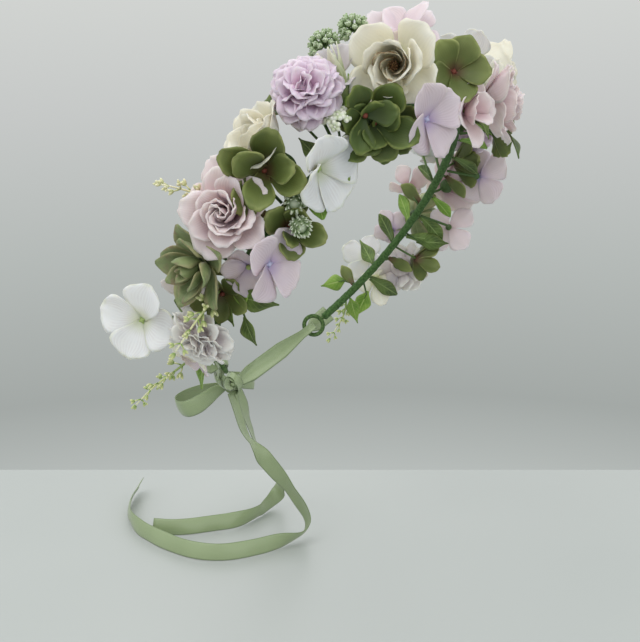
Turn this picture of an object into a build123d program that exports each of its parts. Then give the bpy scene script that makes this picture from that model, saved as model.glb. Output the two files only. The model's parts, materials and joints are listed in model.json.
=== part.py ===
"""Flower crown of fabric blooms on a taped wire ring, tied at the nape with a satin ribbon.

The crown is modelled as it is worn: +Z up, the wearer faces -Y, the wearer's right is -X.
The origin is the middle of the wire ring, on the seat where the head passes through it.
All sizes are in millimetres.
"""
from build123d import *
import os
from math import atan2, cos, degrees, pi, radians, sin

os.makedirs("parts", exist_ok=True)

# ---- the head the crown is made for: a circumference of about 553 mm at the widest ----
HEAD_CENTRE = Vector(0, 4.4, -38.7)
HEAD_HALF = Vector(76, 99.4, 120.7)

# ---- the wire ring: an oval of two radii, open at the nape ----
RING_TILT = 54.0                # the front of the ring rises at this angle
FRONT_RADIUS = 74.0
SIDE_RADIUS = 94.0
FRONT_OFFSET = 12.0             # centre of the front arc ahead of the middle
SIDE_OFFSET = 16.0              # centre of each side arc across the middle
NAPE_TURN = 12.5                # degrees that each end carries on round the nape
WIRE_DIAMETER = 2.0
TAPE_DIAMETER = 4.4
TAPE_GAP = 0.02                 # between the wire and the tape
FOOT_GAP = 0.35                 # between the tape and the square foot of a stem
EYE_RADIUS = 5.6                # middle of the wire in each end loop
EYE_WIRE_DIAMETER = 2.4         # the loop's wire with its paper cover
EYE_NECK = 2.0                  # bare wire between the tape and the end loop

# ---- stems and heads ----
STEM_DIAMETER = 1.4
PEG_DIAMETER = 2.0              # moulded peg that a flower head is threaded on
PEG_BORE = 2.1
HEAD_GAP = 0.3                  # between a calyx and the head that turns on it
CALYX_HEIGHT = 4.0
STRAIGHT_TURN = 4.0             # a stem that turns by fewer degrees is straight
LEAF_THICKNESS = 0.8
PETAL_THICKNESS = 1.0

# ---- ribbon ----
RIBBON_WIDTH = 10.0
RIBBON_THICKNESS = 0.5
TAIL_DIAMETER = 3.5             # round core of a loose tail
KNOT_CENTRE = Vector(0, 70, -88)

# ---- the ring's own plane: local +Y points to the front of the crown ----
tilt = radians(RING_TILT)
ring_plane = Plane(origin=(0, 0, 0), x_dir=(1, 0, 0), z_dir=(0, -sin(tilt), -cos(tilt)))
corner = degrees(atan2(FRONT_OFFSET, SIDE_OFFSET))      # where the front arc meets a side arc

with BuildLine(ring_plane) as ring_line:
    CenterArc((0, -FRONT_OFFSET), FRONT_RADIUS, 180 + corner + NAPE_TURN, -NAPE_TURN)
    CenterArc((SIDE_OFFSET, 0), SIDE_RADIUS, 180 + corner, -2 * corner)
    CenterArc((0, FRONT_OFFSET), FRONT_RADIUS, 180 - corner, 2 * corner - 180)
    CenterArc((-SIDE_OFFSET, 0), SIDE_RADIUS, corner, -2 * corner)
    CenterArc((0, -FRONT_OFFSET), FRONT_RADIUS, -corner, -NAPE_TURN)
ring_wire = ring_line.wires()[0]
HALF_LENGTH = ring_wire.length / 2


def band(station):
    """The plane on the wire at a distance from the front, positive to the wearer's right.

    Local X runs along the wire to the right, Y to the face, and Z out of the head.
    """
    there = (HALF_LENGTH - station) / (2 * HALF_LENGTH)
    point = ring_wire.position_at(there)
    along = ring_wire.tangent_at(there) * -1
    rel = point - HEAD_CENTRE
    out = Vector(rel.X / HEAD_HALF.X ** 2, rel.Y / HEAD_HALF.Y ** 2, rel.Z / HEAD_HALF.Z ** 2)
    out = (out - along * out.dot(along)).normalized()
    return Plane(origin=point, x_dir=along, z_dir=out)


def on_band(station, forward, height):
    """A point beside the wire, forward of it and out from it."""
    place = band(station)
    return place.origin + place.y_dir * forward + place.z_dir * height


def facing(station, lean_along, lean_forward):
    """The unit direction of a stem that leans along the band and to the face."""
    place = band(station)
    way = place.z_dir + place.x_dir * lean_along + place.y_dir * lean_forward
    return way.normalized()


def seat_plane(centre, way, station, depth, spin=0):
    """The plane under a head of a given depth, its Z along the stem."""
    along = band(station).x_dir
    across = (along - way * along.dot(way)).normalized()
    plane = Plane(origin=centre - way * (depth / 2), x_dir=across, z_dir=way)
    return plane.rotated((0, 0, spin))


def section_of(plane):
    """The plane through the stem whose local Y is the stem's direction."""
    return Plane(origin=plane.origin, x_dir=plane.x_dir, z_dir=plane.y_dir * -1)


def keep(piece, name):
    piece.part.label = name
    export_step(piece.part, f"parts/{name}.step")


def stem_path(station, seat, back):
    """A stem's points: off the tape, up behind the head, and along its axis into the seat."""
    behind = seat.origin - seat.z_dir * back
    place = band(station)
    away = behind - place.origin
    away = (away - place.x_dir * away.dot(place.x_dir)).normalized()
    foot = place.origin + away * (TAPE_DIAMETER / 2 + FOOT_GAP)
    return [foot, behind, seat.origin]


def bent_stem(points):
    """A round stem through three points, bent smoothly at the middle one."""
    foot, behind, top = points
    turn = (behind - foot).get_angle(top - behind)
    with BuildPart() as rod:
        with BuildLine() as path:
            if turn > STRAIGHT_TURN:
                FilletPolyline(foot, behind, top, radius=bend_radius(foot, behind, top, turn))
            else:
                Line(foot, top)
        rod_wire = path.wires()[0]
        with BuildSketch(Plane(origin=foot, z_dir=rod_wire.tangent_at(0))):
            Circle(STEM_DIAMETER / 2)
        sweep(path=rod_wire)
    return rod.part


def bend_radius(foot, behind, top, turn):
    shorter = min((behind - foot).length, (top - behind).length)
    return 0.45 * shorter / abs(sin(radians(turn / 2)) / cos(radians(turn / 2)))


# ---------------------------------------------------------------- wire ring and tape
start_plane = Plane(origin=ring_wire.position_at(0), z_dir=ring_wire.tangent_at(0))


def eye_plane(side):
    """The plane of an end loop, its Z out of the head: side 1 is the wearer's right."""
    end = band(side * HALF_LENGTH)
    centre = end.origin + end.x_dir * side * (EYE_NECK + EYE_RADIUS)
    return Plane(origin=centre, x_dir=end.x_dir * side, z_dir=end.z_dir)


right_end, left_end = band(HALF_LENGTH), band(-HALF_LENGTH)
neck_length = EYE_NECK + WIRE_DIAMETER / 4
with BuildLine() as wire_line:
    Line(right_end.origin + right_end.x_dir * neck_length, right_end.origin)
    add(ring_line.edges())
    Line(left_end.origin, left_end.origin - left_end.x_dir * neck_length)
wire_path = wire_line.wires()[0]
with BuildPart() as frame_wire:
    with BuildSketch(Plane(origin=wire_path.position_at(0), z_dir=wire_path.tangent_at(0))):
        Circle(WIRE_DIAMETER / 2)
    sweep(path=wire_path)
    for side in (1, -1):
        with Locations(eye_plane(side).location):
            Torus(EYE_RADIUS, EYE_WIRE_DIAMETER / 2)
keep(frame_wire, "frame_wire")

with BuildPart() as floral_tape:
    with BuildSketch(start_plane):
        Circle(TAPE_DIAMETER / 2)
        Circle(WIRE_DIAMETER / 2 + TAPE_GAP, mode=Mode.SUBTRACT)
    sweep(path=ring_wire)
keep(floral_tape, "floral_tape")


# ---------------------------------------------------------------- roses and pompoms
def turned_head(plane, radius, depth, waist, mouth):
    """A head turned about its stem: narrow at the calyx, with a bore for its peg."""
    bore = PEG_BORE / 2
    with BuildPart() as head:
        with BuildSketch(section_of(plane)):
            with BuildLine():
                Line((bore, 0), (waist, 0))
                ThreePointArc((waist, 0), (0.82 * radius, 0.26 * depth), (radius, 0.64 * depth))
                ThreePointArc((radius, 0.64 * depth), (0.95 * radius, 0.86 * depth), (mouth, depth))
                Line((mouth, depth), (bore, depth))
                Line((bore, depth), (bore, 0))
            make_face()
        revolve(axis=Axis(plane.origin, plane.z_dir))
    return head


def head_stem(plane, station, depth, waist, back):
    """The wire stem, the moulded calyx under a head, and the peg that the head turns on."""
    low = plane.offset(-HEAD_GAP - CALYX_HEIGHT)
    with BuildPart() as stem:
        add(bent_stem(stem_path(station, low, back)))
        with BuildSketch(section_of(low)):
            with BuildLine():
                Line((0, 0), (STEM_DIAMETER / 2 + 0.3, 0))
                ThreePointArc((STEM_DIAMETER / 2 + 0.3, 0), (0.8 * waist, 0.5 * CALYX_HEIGHT),
                              (waist, CALYX_HEIGHT))
                Line((waist, CALYX_HEIGHT), (PEG_DIAMETER / 2, CALYX_HEIGHT))
                Line((PEG_DIAMETER / 2, CALYX_HEIGHT),
                     (PEG_DIAMETER / 2, CALYX_HEIGHT + HEAD_GAP + 0.45 * depth))
                Line((PEG_DIAMETER / 2, CALYX_HEIGHT + HEAD_GAP + 0.45 * depth),
                     (0, CALYX_HEIGHT + HEAD_GAP + 0.45 * depth))
                Line((0, CALYX_HEIGHT + HEAD_GAP + 0.45 * depth), (0, 0))
            make_face()
        revolve(axis=Axis(low.origin, low.z_dir))
    return stem


# name: centre's station, forward and height; lean along and forward; radius, depth, mouth share
HEADS = {
    "rose_cream_front": (38, -3, 29, 1.2, 0.5, 15.0, 19, 0.75),
    "rose_mauve_front": (-10, 22, 17, -0.6, 1.0, 13.0, 16, 0.75),
    "pompom_lilac_right": (63, -17, 27, 0.2, -0.1, 13.0, 18, 0.45),
    "rose_cream_right": (83, -19, 22, 0.3, -0.7, 10.5, 17, 0.7),
    "rose_mauve_right": (107, -5, 29, -0.1, 0.25, 15.0, 19, 0.75),
    "succulent_right": (129, -4, 25, 0.2, 0.1, 12.5, 12, 0.8),
    "pompom_ivory_right": (152, 12, 20, 0.3, 0.5, 14.0, 13, 0.5),
    "rose_cream_left": (-45, -6, 28, -0.4, 0.2, 15.0, 19, 0.75),
    "pompom_lilac_left": (-76, -8, 26, -0.2, 0.0, 13.5, 18, 0.45),
    "rose_mauve_left": (-107, 2, 28, 0.1, 0.1, 15.5, 19, 0.75),
    "succulent_left": (-132, -4, 25, -0.2, 0.1, 12.5, 12, 0.8),
    "pompom_ivory_left": (-156, 10, 20, -0.3, 0.4, 14.0, 13, 0.5),
}
WAIST_SHARE = 0.26
STEM_BACK = 5.0                 # straight stem below a calyx

heads = {}
for name, (station, forward, height, lean_a, lean_f, radius, depth, mouth) in HEADS.items():
    way = facing(station, lean_a, lean_f)
    plane = seat_plane(on_band(station, forward, height), way, station, depth)
    waist = WAIST_SHARE * radius
    head = turned_head(plane, radius, depth, waist, mouth * radius)
    keep(head, name)
    stem = head_stem(plane, station, depth, waist, STEM_BACK)
    keep(stem, name + "_stem")
    heads[name] = plane


# ---------------------------------------------------------------- hydrangea florets
FLORET_HUB = 2.4


def floret(plane, length, width, petals, cup):
    """One layer of petals cut from sheet, cupped round a flat hub."""
    thick = PETAL_THICKNESS
    with BuildPart() as layer:
        with BuildSketch(section_of(plane)):
            with BuildLine():
                Line((0, 0), (FLORET_HUB, 0))
                ThreePointArc((FLORET_HUB, 0), (0.62 * length, 0.4 * cup), (length, cup))
                Line((length, cup), (length, cup + thick))
                ThreePointArc((length, cup + thick), (0.62 * length, 0.4 * cup + thick),
                              (FLORET_HUB, thick))
                Line((FLORET_HUB, thick), (0, thick))
                Line((0, thick), (0, 0))
            make_face()
        revolve(axis=Axis(plane.origin, plane.z_dir))
        with BuildSketch(plane):
            Circle(FLORET_HUB)
            with PolarLocations(0.52 * length, petals):
                Ellipse(0.5 * length, width / 2)
        extrude(amount=cup + 2 * thick, mode=Mode.INTERSECT)
    return layer


# name: hub's station, forward and height; lean along and forward; petal length and width,
# petals, cup, and turn about the stem in degrees
FLORETS = {
    "floret_pink_front": (16, -18, 22, 0.6, -0.2, 12.5, 11, 4, 4, 20),
    "floret_olive_front": (14, 7, 22, 0.7, 0.5, 13.0, 13, 5, 5, 0),
    "floret_lavender_front": (35, 17, 14, 0.8, 1.0, 13.5, 13, 4, 3, 30),
    "floret_green_front": (52, 5, 11, 0.9, 0.6, 13.0, 12, 4, 4, 10),
    "floret_white_right": (76, 4, 13, 0.3, 0.9, 15.0, 14, 4, 5, 40),
    "floret_olive_right": (95, -9, 9, 0.1, -0.1, 8.0, 8, 5, 8, 0),
    "floret_lavender_right": (113, 15, 13, 0.0, 0.5, 13.5, 12, 4, 3, 60),
    "floret_white_nape": (162, -13, 31, -0.7, 0.4, 15.0, 14, 4, 4, 0),
    "floret_white_left": (-25, -10, 18, -0.5, -0.1, 13.5, 13, 4, 4, 20),
    "floret_green_left": (-58, 12, 14, -0.3, 0.9, 13.5, 12, 4, 4, 0),
    "floret_lavender_left": (-88, 15, 13, 0.0, 1.0, 13.5, 13, 4, 3, 30),
    "floret_olive_left": (-91, -20, 18, -0.3, -0.5, 13.0, 11, 5, 6, 0),
    "floret_pink_left": (-122, 17, 13, 0.0, 1.0, 13.0, 12, 4, 4, 50),
    "floret_white_nape_left": (-164, -10, 28, -0.5, -0.6, 13.5, 12, 4, 4, 0),
}
FLORET_CALYX = 2.5

floret_planes = {}
for name, row in FLORETS.items():
    station, forward, height, lean_a, lean_f, length, width, petals, cup, turn = row
    way = facing(station, lean_a, lean_f)
    plane = seat_plane(on_band(station, forward, height), way, station, 0, turn)
    keep(floret(plane, length, width, petals, cup), name)
    floret_planes[name] = (plane, station)


def floret_stems(names):
    """Wire stems, each with the small green calyx that its floret sits on."""
    with BuildPart() as group:
        for name in names:
            plane, station = floret_planes[name]
            low = plane.offset(-FLORET_CALYX)
            add(bent_stem(stem_path(station, low, 3.0)))
            with BuildSketch(section_of(low)):
                with BuildLine():
                    Polyline((0, 0), (STEM_DIAMETER / 2 + 0.1, 0), (FLORET_HUB - 0.6, FLORET_CALYX),
                             (0, FLORET_CALYX), (0, 0))
                make_face()
            revolve(axis=Axis(low.origin, low.z_dir))
    return group


right_florets = [name for name, (plane, station) in floret_planes.items() if station > 0]
left_florets = [name for name, (plane, station) in floret_planes.items() if station < 0]
keep(floret_stems(right_florets), "floret_stems_right")
keep(floret_stems(left_florets), "floret_stems_left")


# ---------------------------------------------------------------- leaves
PETIOLE_DIAMETER = 1.2

# group: leaves as foot station; blade base station, forward, height;
# blade tip station, forward, height; blade width
LEAVES = {
    "leaves_front": [
        (56, 57, 3, 9, 47, -15, 22, 6),
        (-22, -20, 30, 8, -16, 44, 3, 9),
        (2, 3, 18, 10, 6, 34, 6, 8),
    ],
    "leaves_right": [
        (132, 135, 10, 7, 125, 27, 4, 9),
        (138, 142, 16, 4, 148, 28, 3, 8),
        (186, 187, 6, 8, 196, 14, 14, 9),
        (176, 176, -6, 10, 184, -16, 22, 9),
    ],
    "leaves_left": [
        (-66, -68, -20, 10, -60, -34, 20, 8),
        (-136, -138, 8, 8, -126, 24, 6, 9),
        (-174, -176, 6, 10, -190, 12, 14, 9),
        (-178, -180, -8, 8, -192, -16, 14, 9),
    ],
}


def leaf(foot_station, base, tip, width):
    """A pointed blade stamped from sheet, on its own short wire petiole."""
    length = (tip - base).length
    lengthways = (tip - base).normalized()
    out = band(foot_station).z_dir
    normal = (out - lengthways * out.dot(lengthways)).normalized()
    blade_plane = Plane(origin=base - normal * (LEAF_THICKNESS / 2), x_dir=lengthways, z_dir=normal)
    place = band(foot_station)
    away = base - place.origin
    away = (away - place.x_dir * away.dot(place.x_dir)).normalized()
    foot = place.origin + away * (TAPE_DIAMETER / 2 + FOOT_GAP)
    with BuildPart() as whole:
        with BuildSketch(blade_plane):
            with BuildLine():
                ThreePointArc((-0.5, 0), (0.42 * length, width / 2), (length, 0))
                ThreePointArc((length, 0), (0.42 * length, -width / 2), (-0.5, 0))
            make_face()
        extrude(amount=LEAF_THICKNESS)
        with BuildSketch(Plane(origin=foot, z_dir=base - foot)):
            Circle(PETIOLE_DIAMETER / 2)
        extrude(amount=(base + lengthways - foot).length)
    return whole.part


for name, rows in LEAVES.items():
    with BuildPart() as group:
        for foot_station, b_s, b_f, b_h, t_s, t_f, t_h, width in rows:
            add(leaf(foot_station, on_band(b_s, b_f, b_h), on_band(t_s, t_f, t_h), width))
    keep(group, name)


# ---------------------------------------------------------------- sprigs, pods and buds
SPRIG_STEM = 1.2


def knob_stem(points, knobs):
    """A moulded stem through hand-placed points, with round buds joined to it."""
    with BuildPart() as sprig:
        radii = []
        for before, here, after in zip(points, points[1:], points[2:]):
            turn = (here - before).get_angle(after - here)
            radii.append(bend_radius(before, here, after, turn))
        with BuildLine() as path:
            if radii:
                FilletPolyline(*points, radius=radii)
            else:
                Line(*points)
        stem_wire = path.wires()[0]
        with BuildSketch(Plane(origin=points[0], z_dir=stem_wire.tangent_at(0))):
            Circle(SPRIG_STEM / 2)
        sweep(path=stem_wire)
        for share, offset, turn, radius in knobs:
            along = stem_wire.tangent_at(share)
            ring = Plane(origin=stem_wire.position_at(share), z_dir=along)
            turned = ring.rotated((0, 0, turn))
            outward, pole = (turned.x_dir, along) if offset else (along, turned.x_dir)
            centre = turned.origin + turned.x_dir * offset
            with Locations(Plane(origin=centre, x_dir=outward, z_dir=pole).location):
                Sphere(radius)
    return sprig


def clear_foot(station, towards):
    """A point just off the tape, on the side that a stem leaves from."""
    place = band(station)
    away = towards - place.origin
    away = (away - place.x_dir * away.dot(place.x_dir)).normalized()
    return place.origin + away * (TAPE_DIAMETER / 2 + FOOT_GAP)


def bud_row(count, first, step, offset, radius, shrink):
    """Buds in alternating pairs up a stem, smaller towards its tip."""
    row = []
    for k in range(count):
        row.append((first + k * step, offset, 90 * (k % 4) + 20, radius - k * shrink))
    row.append((0.995, 0.0, 0, radius - count * shrink))
    return row


# name: foot station, then points on the band, then buds
SPRIGS = {
    "sprig_cream_right": (112, [(112, -22, 8), (113, -31, 21), (114, -34, 34)],
                          bud_row(6, 0.5, 0.075, 1.5, 1.5, 0.06)),
    "sprig_hanging_right": (140, [(139, 2, 12), (137, 9, 22), (141, 13, 31), (152, 15, 36)],
                            bud_row(8, 0.55, 0.052, 1.6, 1.5, 0.07)),
    "sprig_nape_right": (187, [(187, 1, 11), (189, 3, 24), (194, 3, 36), (202, 4, 46)],
                         bud_row(8, 0.45, 0.065, 1.7, 1.6, 0.08)),
    "sprig_nape_left": (-188, [(-188, 1, 11), (-190, 4, 23), (-195, 8, 34), (-202, 12, 40)],
                        bud_row(8, 0.45, 0.065, 1.7, 1.6, 0.08)),
}
for name, (station, rows, knobs) in SPRIGS.items():
    points = [on_band(*row) for row in rows]
    keep(knob_stem([clear_foot(station, points[0])] + points, knobs), name)


def dome_on_stem(station, centre, radius, height):
    """A fringed pod or umbel: a dome opening outwards on a thin stem."""
    place = band(station)
    foot = clear_foot(station, centre)
    way = (centre - foot).normalized()
    low = Plane(origin=centre - way * (height / 2), x_dir=place.x_dir, z_dir=way)
    stem, drop = SPRIG_STEM / 2, (low.origin - foot).length
    with BuildPart() as pod:
        with BuildSketch(section_of(low)):
            with BuildLine():
                Line((stem, -drop), (stem, 0))
                ThreePointArc((stem, 0), (0.8 * radius, 0.3 * height), (radius, 0.72 * height))
                ThreePointArc((radius, 0.72 * height), (0.85 * radius, 0.9 * height),
                              (0.3 * radius, height))
                Polyline((0.3 * radius, height), (0, height), (0, -drop), (stem, -drop))
            make_face()
        revolve(axis=Axis(low.origin, low.z_dir))
    return pod.part


# group: pods as foot station; centre's station, forward and height; radius and height
PODS = {
    "pods_right": [(88, 90, 8, 14, 4.6, 6), (96, 95, 15, 11, 4.6, 6)],
    "umbels_front": [(30, 33, -33, 24, 4.2, 5), (47, 43, -36, 20, 4.0, 5)],
    "flower_small_white": [(62, 61, -4, 19, 4.6, 5)],
    "bud_pointed_green": [(53, 52, -16, 17, 3.4, 15)],
}
for name, rows in PODS.items():
    with BuildPart() as group:
        for foot_station, station, forward, height, radius, tall in rows:
            add(dome_on_stem(foot_station, on_band(station, forward, height), radius, tall))
    keep(group, name)


# ---------------------------------------------------------------- ribbon tie at the nape
KNOT_SIZE = Vector(9, 7, 8)
GATHER_DIAMETER = 4.0           # the ribbon gathered through an end loop
STRAND_BULGE = 5.0              # how far a strand bows off the nape
LOOP_REACH = 20.0               # knot to the middle of a bow loop's round end
LOOP_RADIUS = 8.0

with BuildPart() as ribbon_knot:
    with Locations(KNOT_CENTRE):
        Box(KNOT_SIZE.X, KNOT_SIZE.Y, KNOT_SIZE.Z)
    fillet(ribbon_knot.edges(), radius=2.4)
keep(ribbon_knot, "ribbon_knot")


def ribbon_strand(side):
    """The ribbon gathered through an end loop, then flat across the nape to the knot."""
    eye = eye_plane(side)
    start = eye.origin + eye.z_dir * (WIRE_DIAMETER / 2 + GATHER_DIAMETER / 2 + 0.5)
    finish = KNOT_CENTRE + Vector(-side * (KNOT_SIZE.X / 2 + 2 * FOOT_GAP), -2.0, 0)
    chord = (finish - start).normalized()
    bulge = (eye.z_dir - chord * eye.z_dir.dot(chord)).normalized()
    middle = (start + finish) * 0.5 + bulge * STRAND_BULGE
    with BuildPart() as strand:
        with BuildLine() as path:
            ThreePointArc(start, middle, finish)
        strand_wire = path.wires()[0]
        first = strand_wire.tangent_at(0)
        with BuildSketch(Plane(origin=start, x_dir=chord.cross(bulge), z_dir=first)):
            Rectangle(RIBBON_WIDTH, RIBBON_THICKNESS)
        sweep(path=strand_wire)
        with BuildSketch(eye.offset(-WIRE_DIAMETER)):
            Circle(GATHER_DIAMETER / 2)
        extrude(amount=WIRE_DIAMETER * 1.5 + GATHER_DIAMETER / 2 + 0.5)
        with Locations(start):
            Sphere(GATHER_DIAMETER / 2)
    return strand


def bow_loop(side):
    """A loop of the bow: the ribbon goes out from the knot, round, and back."""
    start = KNOT_CENTRE + Vector(-side * (KNOT_SIZE.X / 2 + FOOT_GAP + 0.4), 3.2, -1)
    way = Vector(-side, 0.5, -0.25).normalized()
    up = Vector(0, 0, 1)
    width_dir = (up - way * up.dot(way)).normalized()
    flat = Plane(origin=start - width_dir * (RIBBON_WIDTH / 2), x_dir=way, z_dir=width_dir)
    inner = LOOP_RADIUS - RIBBON_THICKNESS
    with BuildPart() as loop:
        with BuildSketch(flat):
            with Locations((LOOP_REACH, 0)):
                Circle(LOOP_RADIUS)
            Polygon((0, 1.2), (0, -1.2), (LOOP_REACH, -LOOP_RADIUS), (LOOP_REACH, LOOP_RADIUS),
                    align=None)
            with Locations((LOOP_REACH, 0)):
                Circle(inner, mode=Mode.SUBTRACT)
            Polygon((1.5, 0.7), (1.5, -0.7), (LOOP_REACH, -inner), (LOOP_REACH, inner),
                    align=None, mode=Mode.SUBTRACT)
        extrude(amount=RIBBON_WIDTH)
    return loop


for side, word in ((1, "right"), (-1, "left")):
    keep(ribbon_strand(side), f"ribbon_strand_{word}")
    keep(bow_loop(side), f"bow_loop_{word}")

# The loose tails: down behind the neck, then on edge along the table, 184.5 below the origin.
TAILS = {
    "ribbon_tail_long": [
        (-2.3, 69, -92.4), (-3, 65, -104), (-1, 61, -118), (5, 53, -131), (12, 45, -145),
        (19, 38, -160), (22, 32, -173), (15, 32, -179.2), (2, 40, -179.2), (-13, 48, -179.2),
        (-28, 60, -179.2), (-35, 79, -179.2), (-34, 101, -179.2), (-31, 121, -179.2),
        (-22, 138, -179.2), (-6, 152, -179.2), (12, 160, -177),
    ],
    "ribbon_tail_short": [
        (2.3, 69, -92.4), (6, 67, -104), (13, 69, -119), (22, 70, -134), (32, 67, -149),
        (41, 67, -163), (45, 71, -174), (37, 74, -179.2), (24, 72, -179.2), (10, 76, -179.2),
        (-3, 87, -179.2), (-14, 96, -179.2), (-21, 105, -179.2), (-25, 114, -179.2),
    ],
}
for name, rows in TAILS.items():
    points = [Vector(*row) for row in rows]
    radii = []
    for before, here, after in zip(points, points[1:], points[2:]):
        turn = (here - before).get_angle(after - here)
        radii.append(bend_radius(before, here, after, turn))
    with BuildPart() as tail:
        with BuildLine() as path:
            FilletPolyline(*points, radius=radii)
        tail_wire = path.wires()[0]
        with BuildSketch(Plane(origin=points[0], z_dir=tail_wire.tangent_at(0))):
            Circle(TAIL_DIAMETER / 2)
        sweep(path=tail_wire)
    keep(tail, name)
    true_volume = pi * TAIL_DIAMETER ** 2 / 4 * tail_wire.length
    print(name, "length", round(tail_wire.length), "volume share",
          round(tail.part.volume / true_volume, 3), "radii", [round(r) for r in radii])
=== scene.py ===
"""The flower crown's looks: fabric petals, leaves, moulded sprigs, taped wire and satin ribbon.

Every length is in metres, in the crown's own frame: +Z up, the wearer faces -Y, the right is -X.
"""
import bpy
import json
import math
import random
import numpy as np
from mathutils import Matrix, Vector, noise


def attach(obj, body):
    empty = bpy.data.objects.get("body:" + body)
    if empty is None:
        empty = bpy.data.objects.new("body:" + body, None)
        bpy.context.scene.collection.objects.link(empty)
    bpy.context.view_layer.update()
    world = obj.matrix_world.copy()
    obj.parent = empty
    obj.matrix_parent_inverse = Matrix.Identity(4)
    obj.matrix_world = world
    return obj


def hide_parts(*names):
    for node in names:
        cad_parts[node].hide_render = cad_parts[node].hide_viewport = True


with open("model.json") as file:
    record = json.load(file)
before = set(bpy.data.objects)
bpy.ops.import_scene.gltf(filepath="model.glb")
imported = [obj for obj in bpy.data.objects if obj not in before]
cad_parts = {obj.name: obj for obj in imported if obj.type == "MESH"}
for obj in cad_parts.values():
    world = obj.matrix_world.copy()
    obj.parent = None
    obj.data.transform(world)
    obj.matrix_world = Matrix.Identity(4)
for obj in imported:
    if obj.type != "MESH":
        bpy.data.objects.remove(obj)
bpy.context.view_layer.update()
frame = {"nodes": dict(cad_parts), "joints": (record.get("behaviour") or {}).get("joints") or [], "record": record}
MM = 0.001

# ---- the wire ring's oval, as the part is designed ----
RING_TILT = math.radians(54)
FRONT_RADIUS = 74 * MM
SIDE_RADIUS = 94 * MM
FRONT_OFFSET = 12 * MM
SIDE_OFFSET = 16 * MM
NAPE_TURN = math.radians(12.5)
TAPE_RADIUS = 2.2 * MM
HEAD_CENTRE = Vector((0, 4.4, -38.7)) * MM
HEAD_HALF = Vector((76, 99.4, 120.7)) * MM
TABLE_DROP = 184.5 * MM
GOLDEN_ANGLE = 2.39996          # the turn between neighbours in a spiral head, in radians
PETAL_SHEET = 0.22              # thickness of stiffened petal cloth, in mm
CORNER = math.atan2(SIDE_OFFSET, FRONT_OFFSET)
RING_AXIS_Y = Vector((0, -math.cos(RING_TILT), math.sin(RING_TILT)))
HALF_LENGTH = (FRONT_RADIUS * CORNER + SIDE_RADIUS * (math.pi - 2 * CORNER)
               + FRONT_RADIUS * NAPE_TURN)


def ring_point(station):
    """Middle of the wire and the way along it, at a distance from the front to the wearer's right."""
    side = 1 if station >= 0 else -1
    rest = abs(station)
    front_arc = FRONT_RADIUS * CORNER
    side_arc = SIDE_RADIUS * (math.pi - 2 * CORNER)
    if rest <= front_arc:
        angle, across, up, radius = rest / FRONT_RADIUS, 0.0, FRONT_OFFSET, FRONT_RADIUS
    elif rest <= front_arc + side_arc:
        angle = CORNER + (rest - front_arc) / SIDE_RADIUS
        across, up, radius = -SIDE_OFFSET, 0.0, SIDE_RADIUS
    else:
        angle = math.pi - CORNER + (rest - front_arc - side_arc) / FRONT_RADIUS
        across, up, radius = 0.0, -FRONT_OFFSET, FRONT_RADIUS
    x = across + radius * math.sin(angle)
    y = up + radius * math.cos(angle)
    point = Vector((-side * x, 0, 0)) + RING_AXIS_Y * y
    along = Vector((-math.cos(angle), 0, 0)) - RING_AXIS_Y * (side * math.sin(angle))
    return point, along.normalized()


def band(station):
    """Point, along, forward and out at a station on the wire."""
    point, along = ring_point(station)
    rel = point - HEAD_CENTRE
    out = Vector([rel[i] / HEAD_HALF[i] ** 2 for i in range(3)])
    out = (out - along * out.dot(along)).normalized()
    return point, along, out.cross(along), out


def on_band(station, forward, height):
    point, along, ahead, out = band(station * MM)
    return point + ahead * forward * MM + out * height * MM


# ---------------------------------------------------------------- reading the frame
def islands(node):
    """The loose solids of a CAD node, each as an array of its corner points and its triangles."""
    mesh = frame["nodes"][node].data
    points = np.array([v.co[:] for v in mesh.vertices])
    keys = {}
    merged = [keys.setdefault(tuple(np.round(p, 6)), len(keys)) for p in points]
    parent = list(range(len(keys)))

    def root(a):
        while parent[a] != a:
            parent[a] = parent[parent[a]]
            a = parent[a]
        return a

    faces = [[merged[i] for i in poly.vertices] for poly in mesh.polygons]
    for face in faces:
        for other in face[1:]:
            parent[root(other)] = root(face[0])
    spots = np.array(list(keys.keys()))
    groups = {}
    for face in faces:
        groups.setdefault(root(face[0]), []).append(face)
    return [(spots[sorted({i for f in group for i in f})], [spots[f] for f in group])
            for group in groups.values()]


def flat_seat(node):
    """Centre and outward axis of a head or floret: its largest flat face is the seat it stands on."""
    points, faces = islands(node)[0]
    sums = {}
    for corners in faces:
        cross = np.cross(corners[1] - corners[0], corners[2] - corners[0])
        size = np.linalg.norm(cross)
        if size < 1e-12:
            continue
        key = tuple(np.round(cross / size, 2))
        total, centre, normal = sums.get(key, (0.0, np.zeros(3), np.zeros(3)))
        sums[key] = (total + size, centre + corners.mean(axis=0) * size, normal + cross)
    total, centre, normal = max(sums.values(), key=lambda entry: entry[0])
    centre = Vector(centre / total)
    axis = Vector(normal).normalized()
    if (Vector(points.mean(axis=0)) - centre).dot(axis) < 0:
        axis = -axis
    return centre, axis


def joint_of(node):
    """The joint that moves the body holding a node."""
    for joint in frame["joints"]:
        if node in frame["record"]["behaviour"]["bodies"][joint["child"]]:
            return joint
    return None


def body_of(node):
    bodies = frame["record"]["behaviour"]["bodies"]
    return next(body for body, members in bodies.items() if node in members)


# ---------------------------------------------------------------- building meshes
def smooth(x):
    x = np.clip(x, 0.0, 1.0)
    return x * x * (3 - 2 * x)


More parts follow.
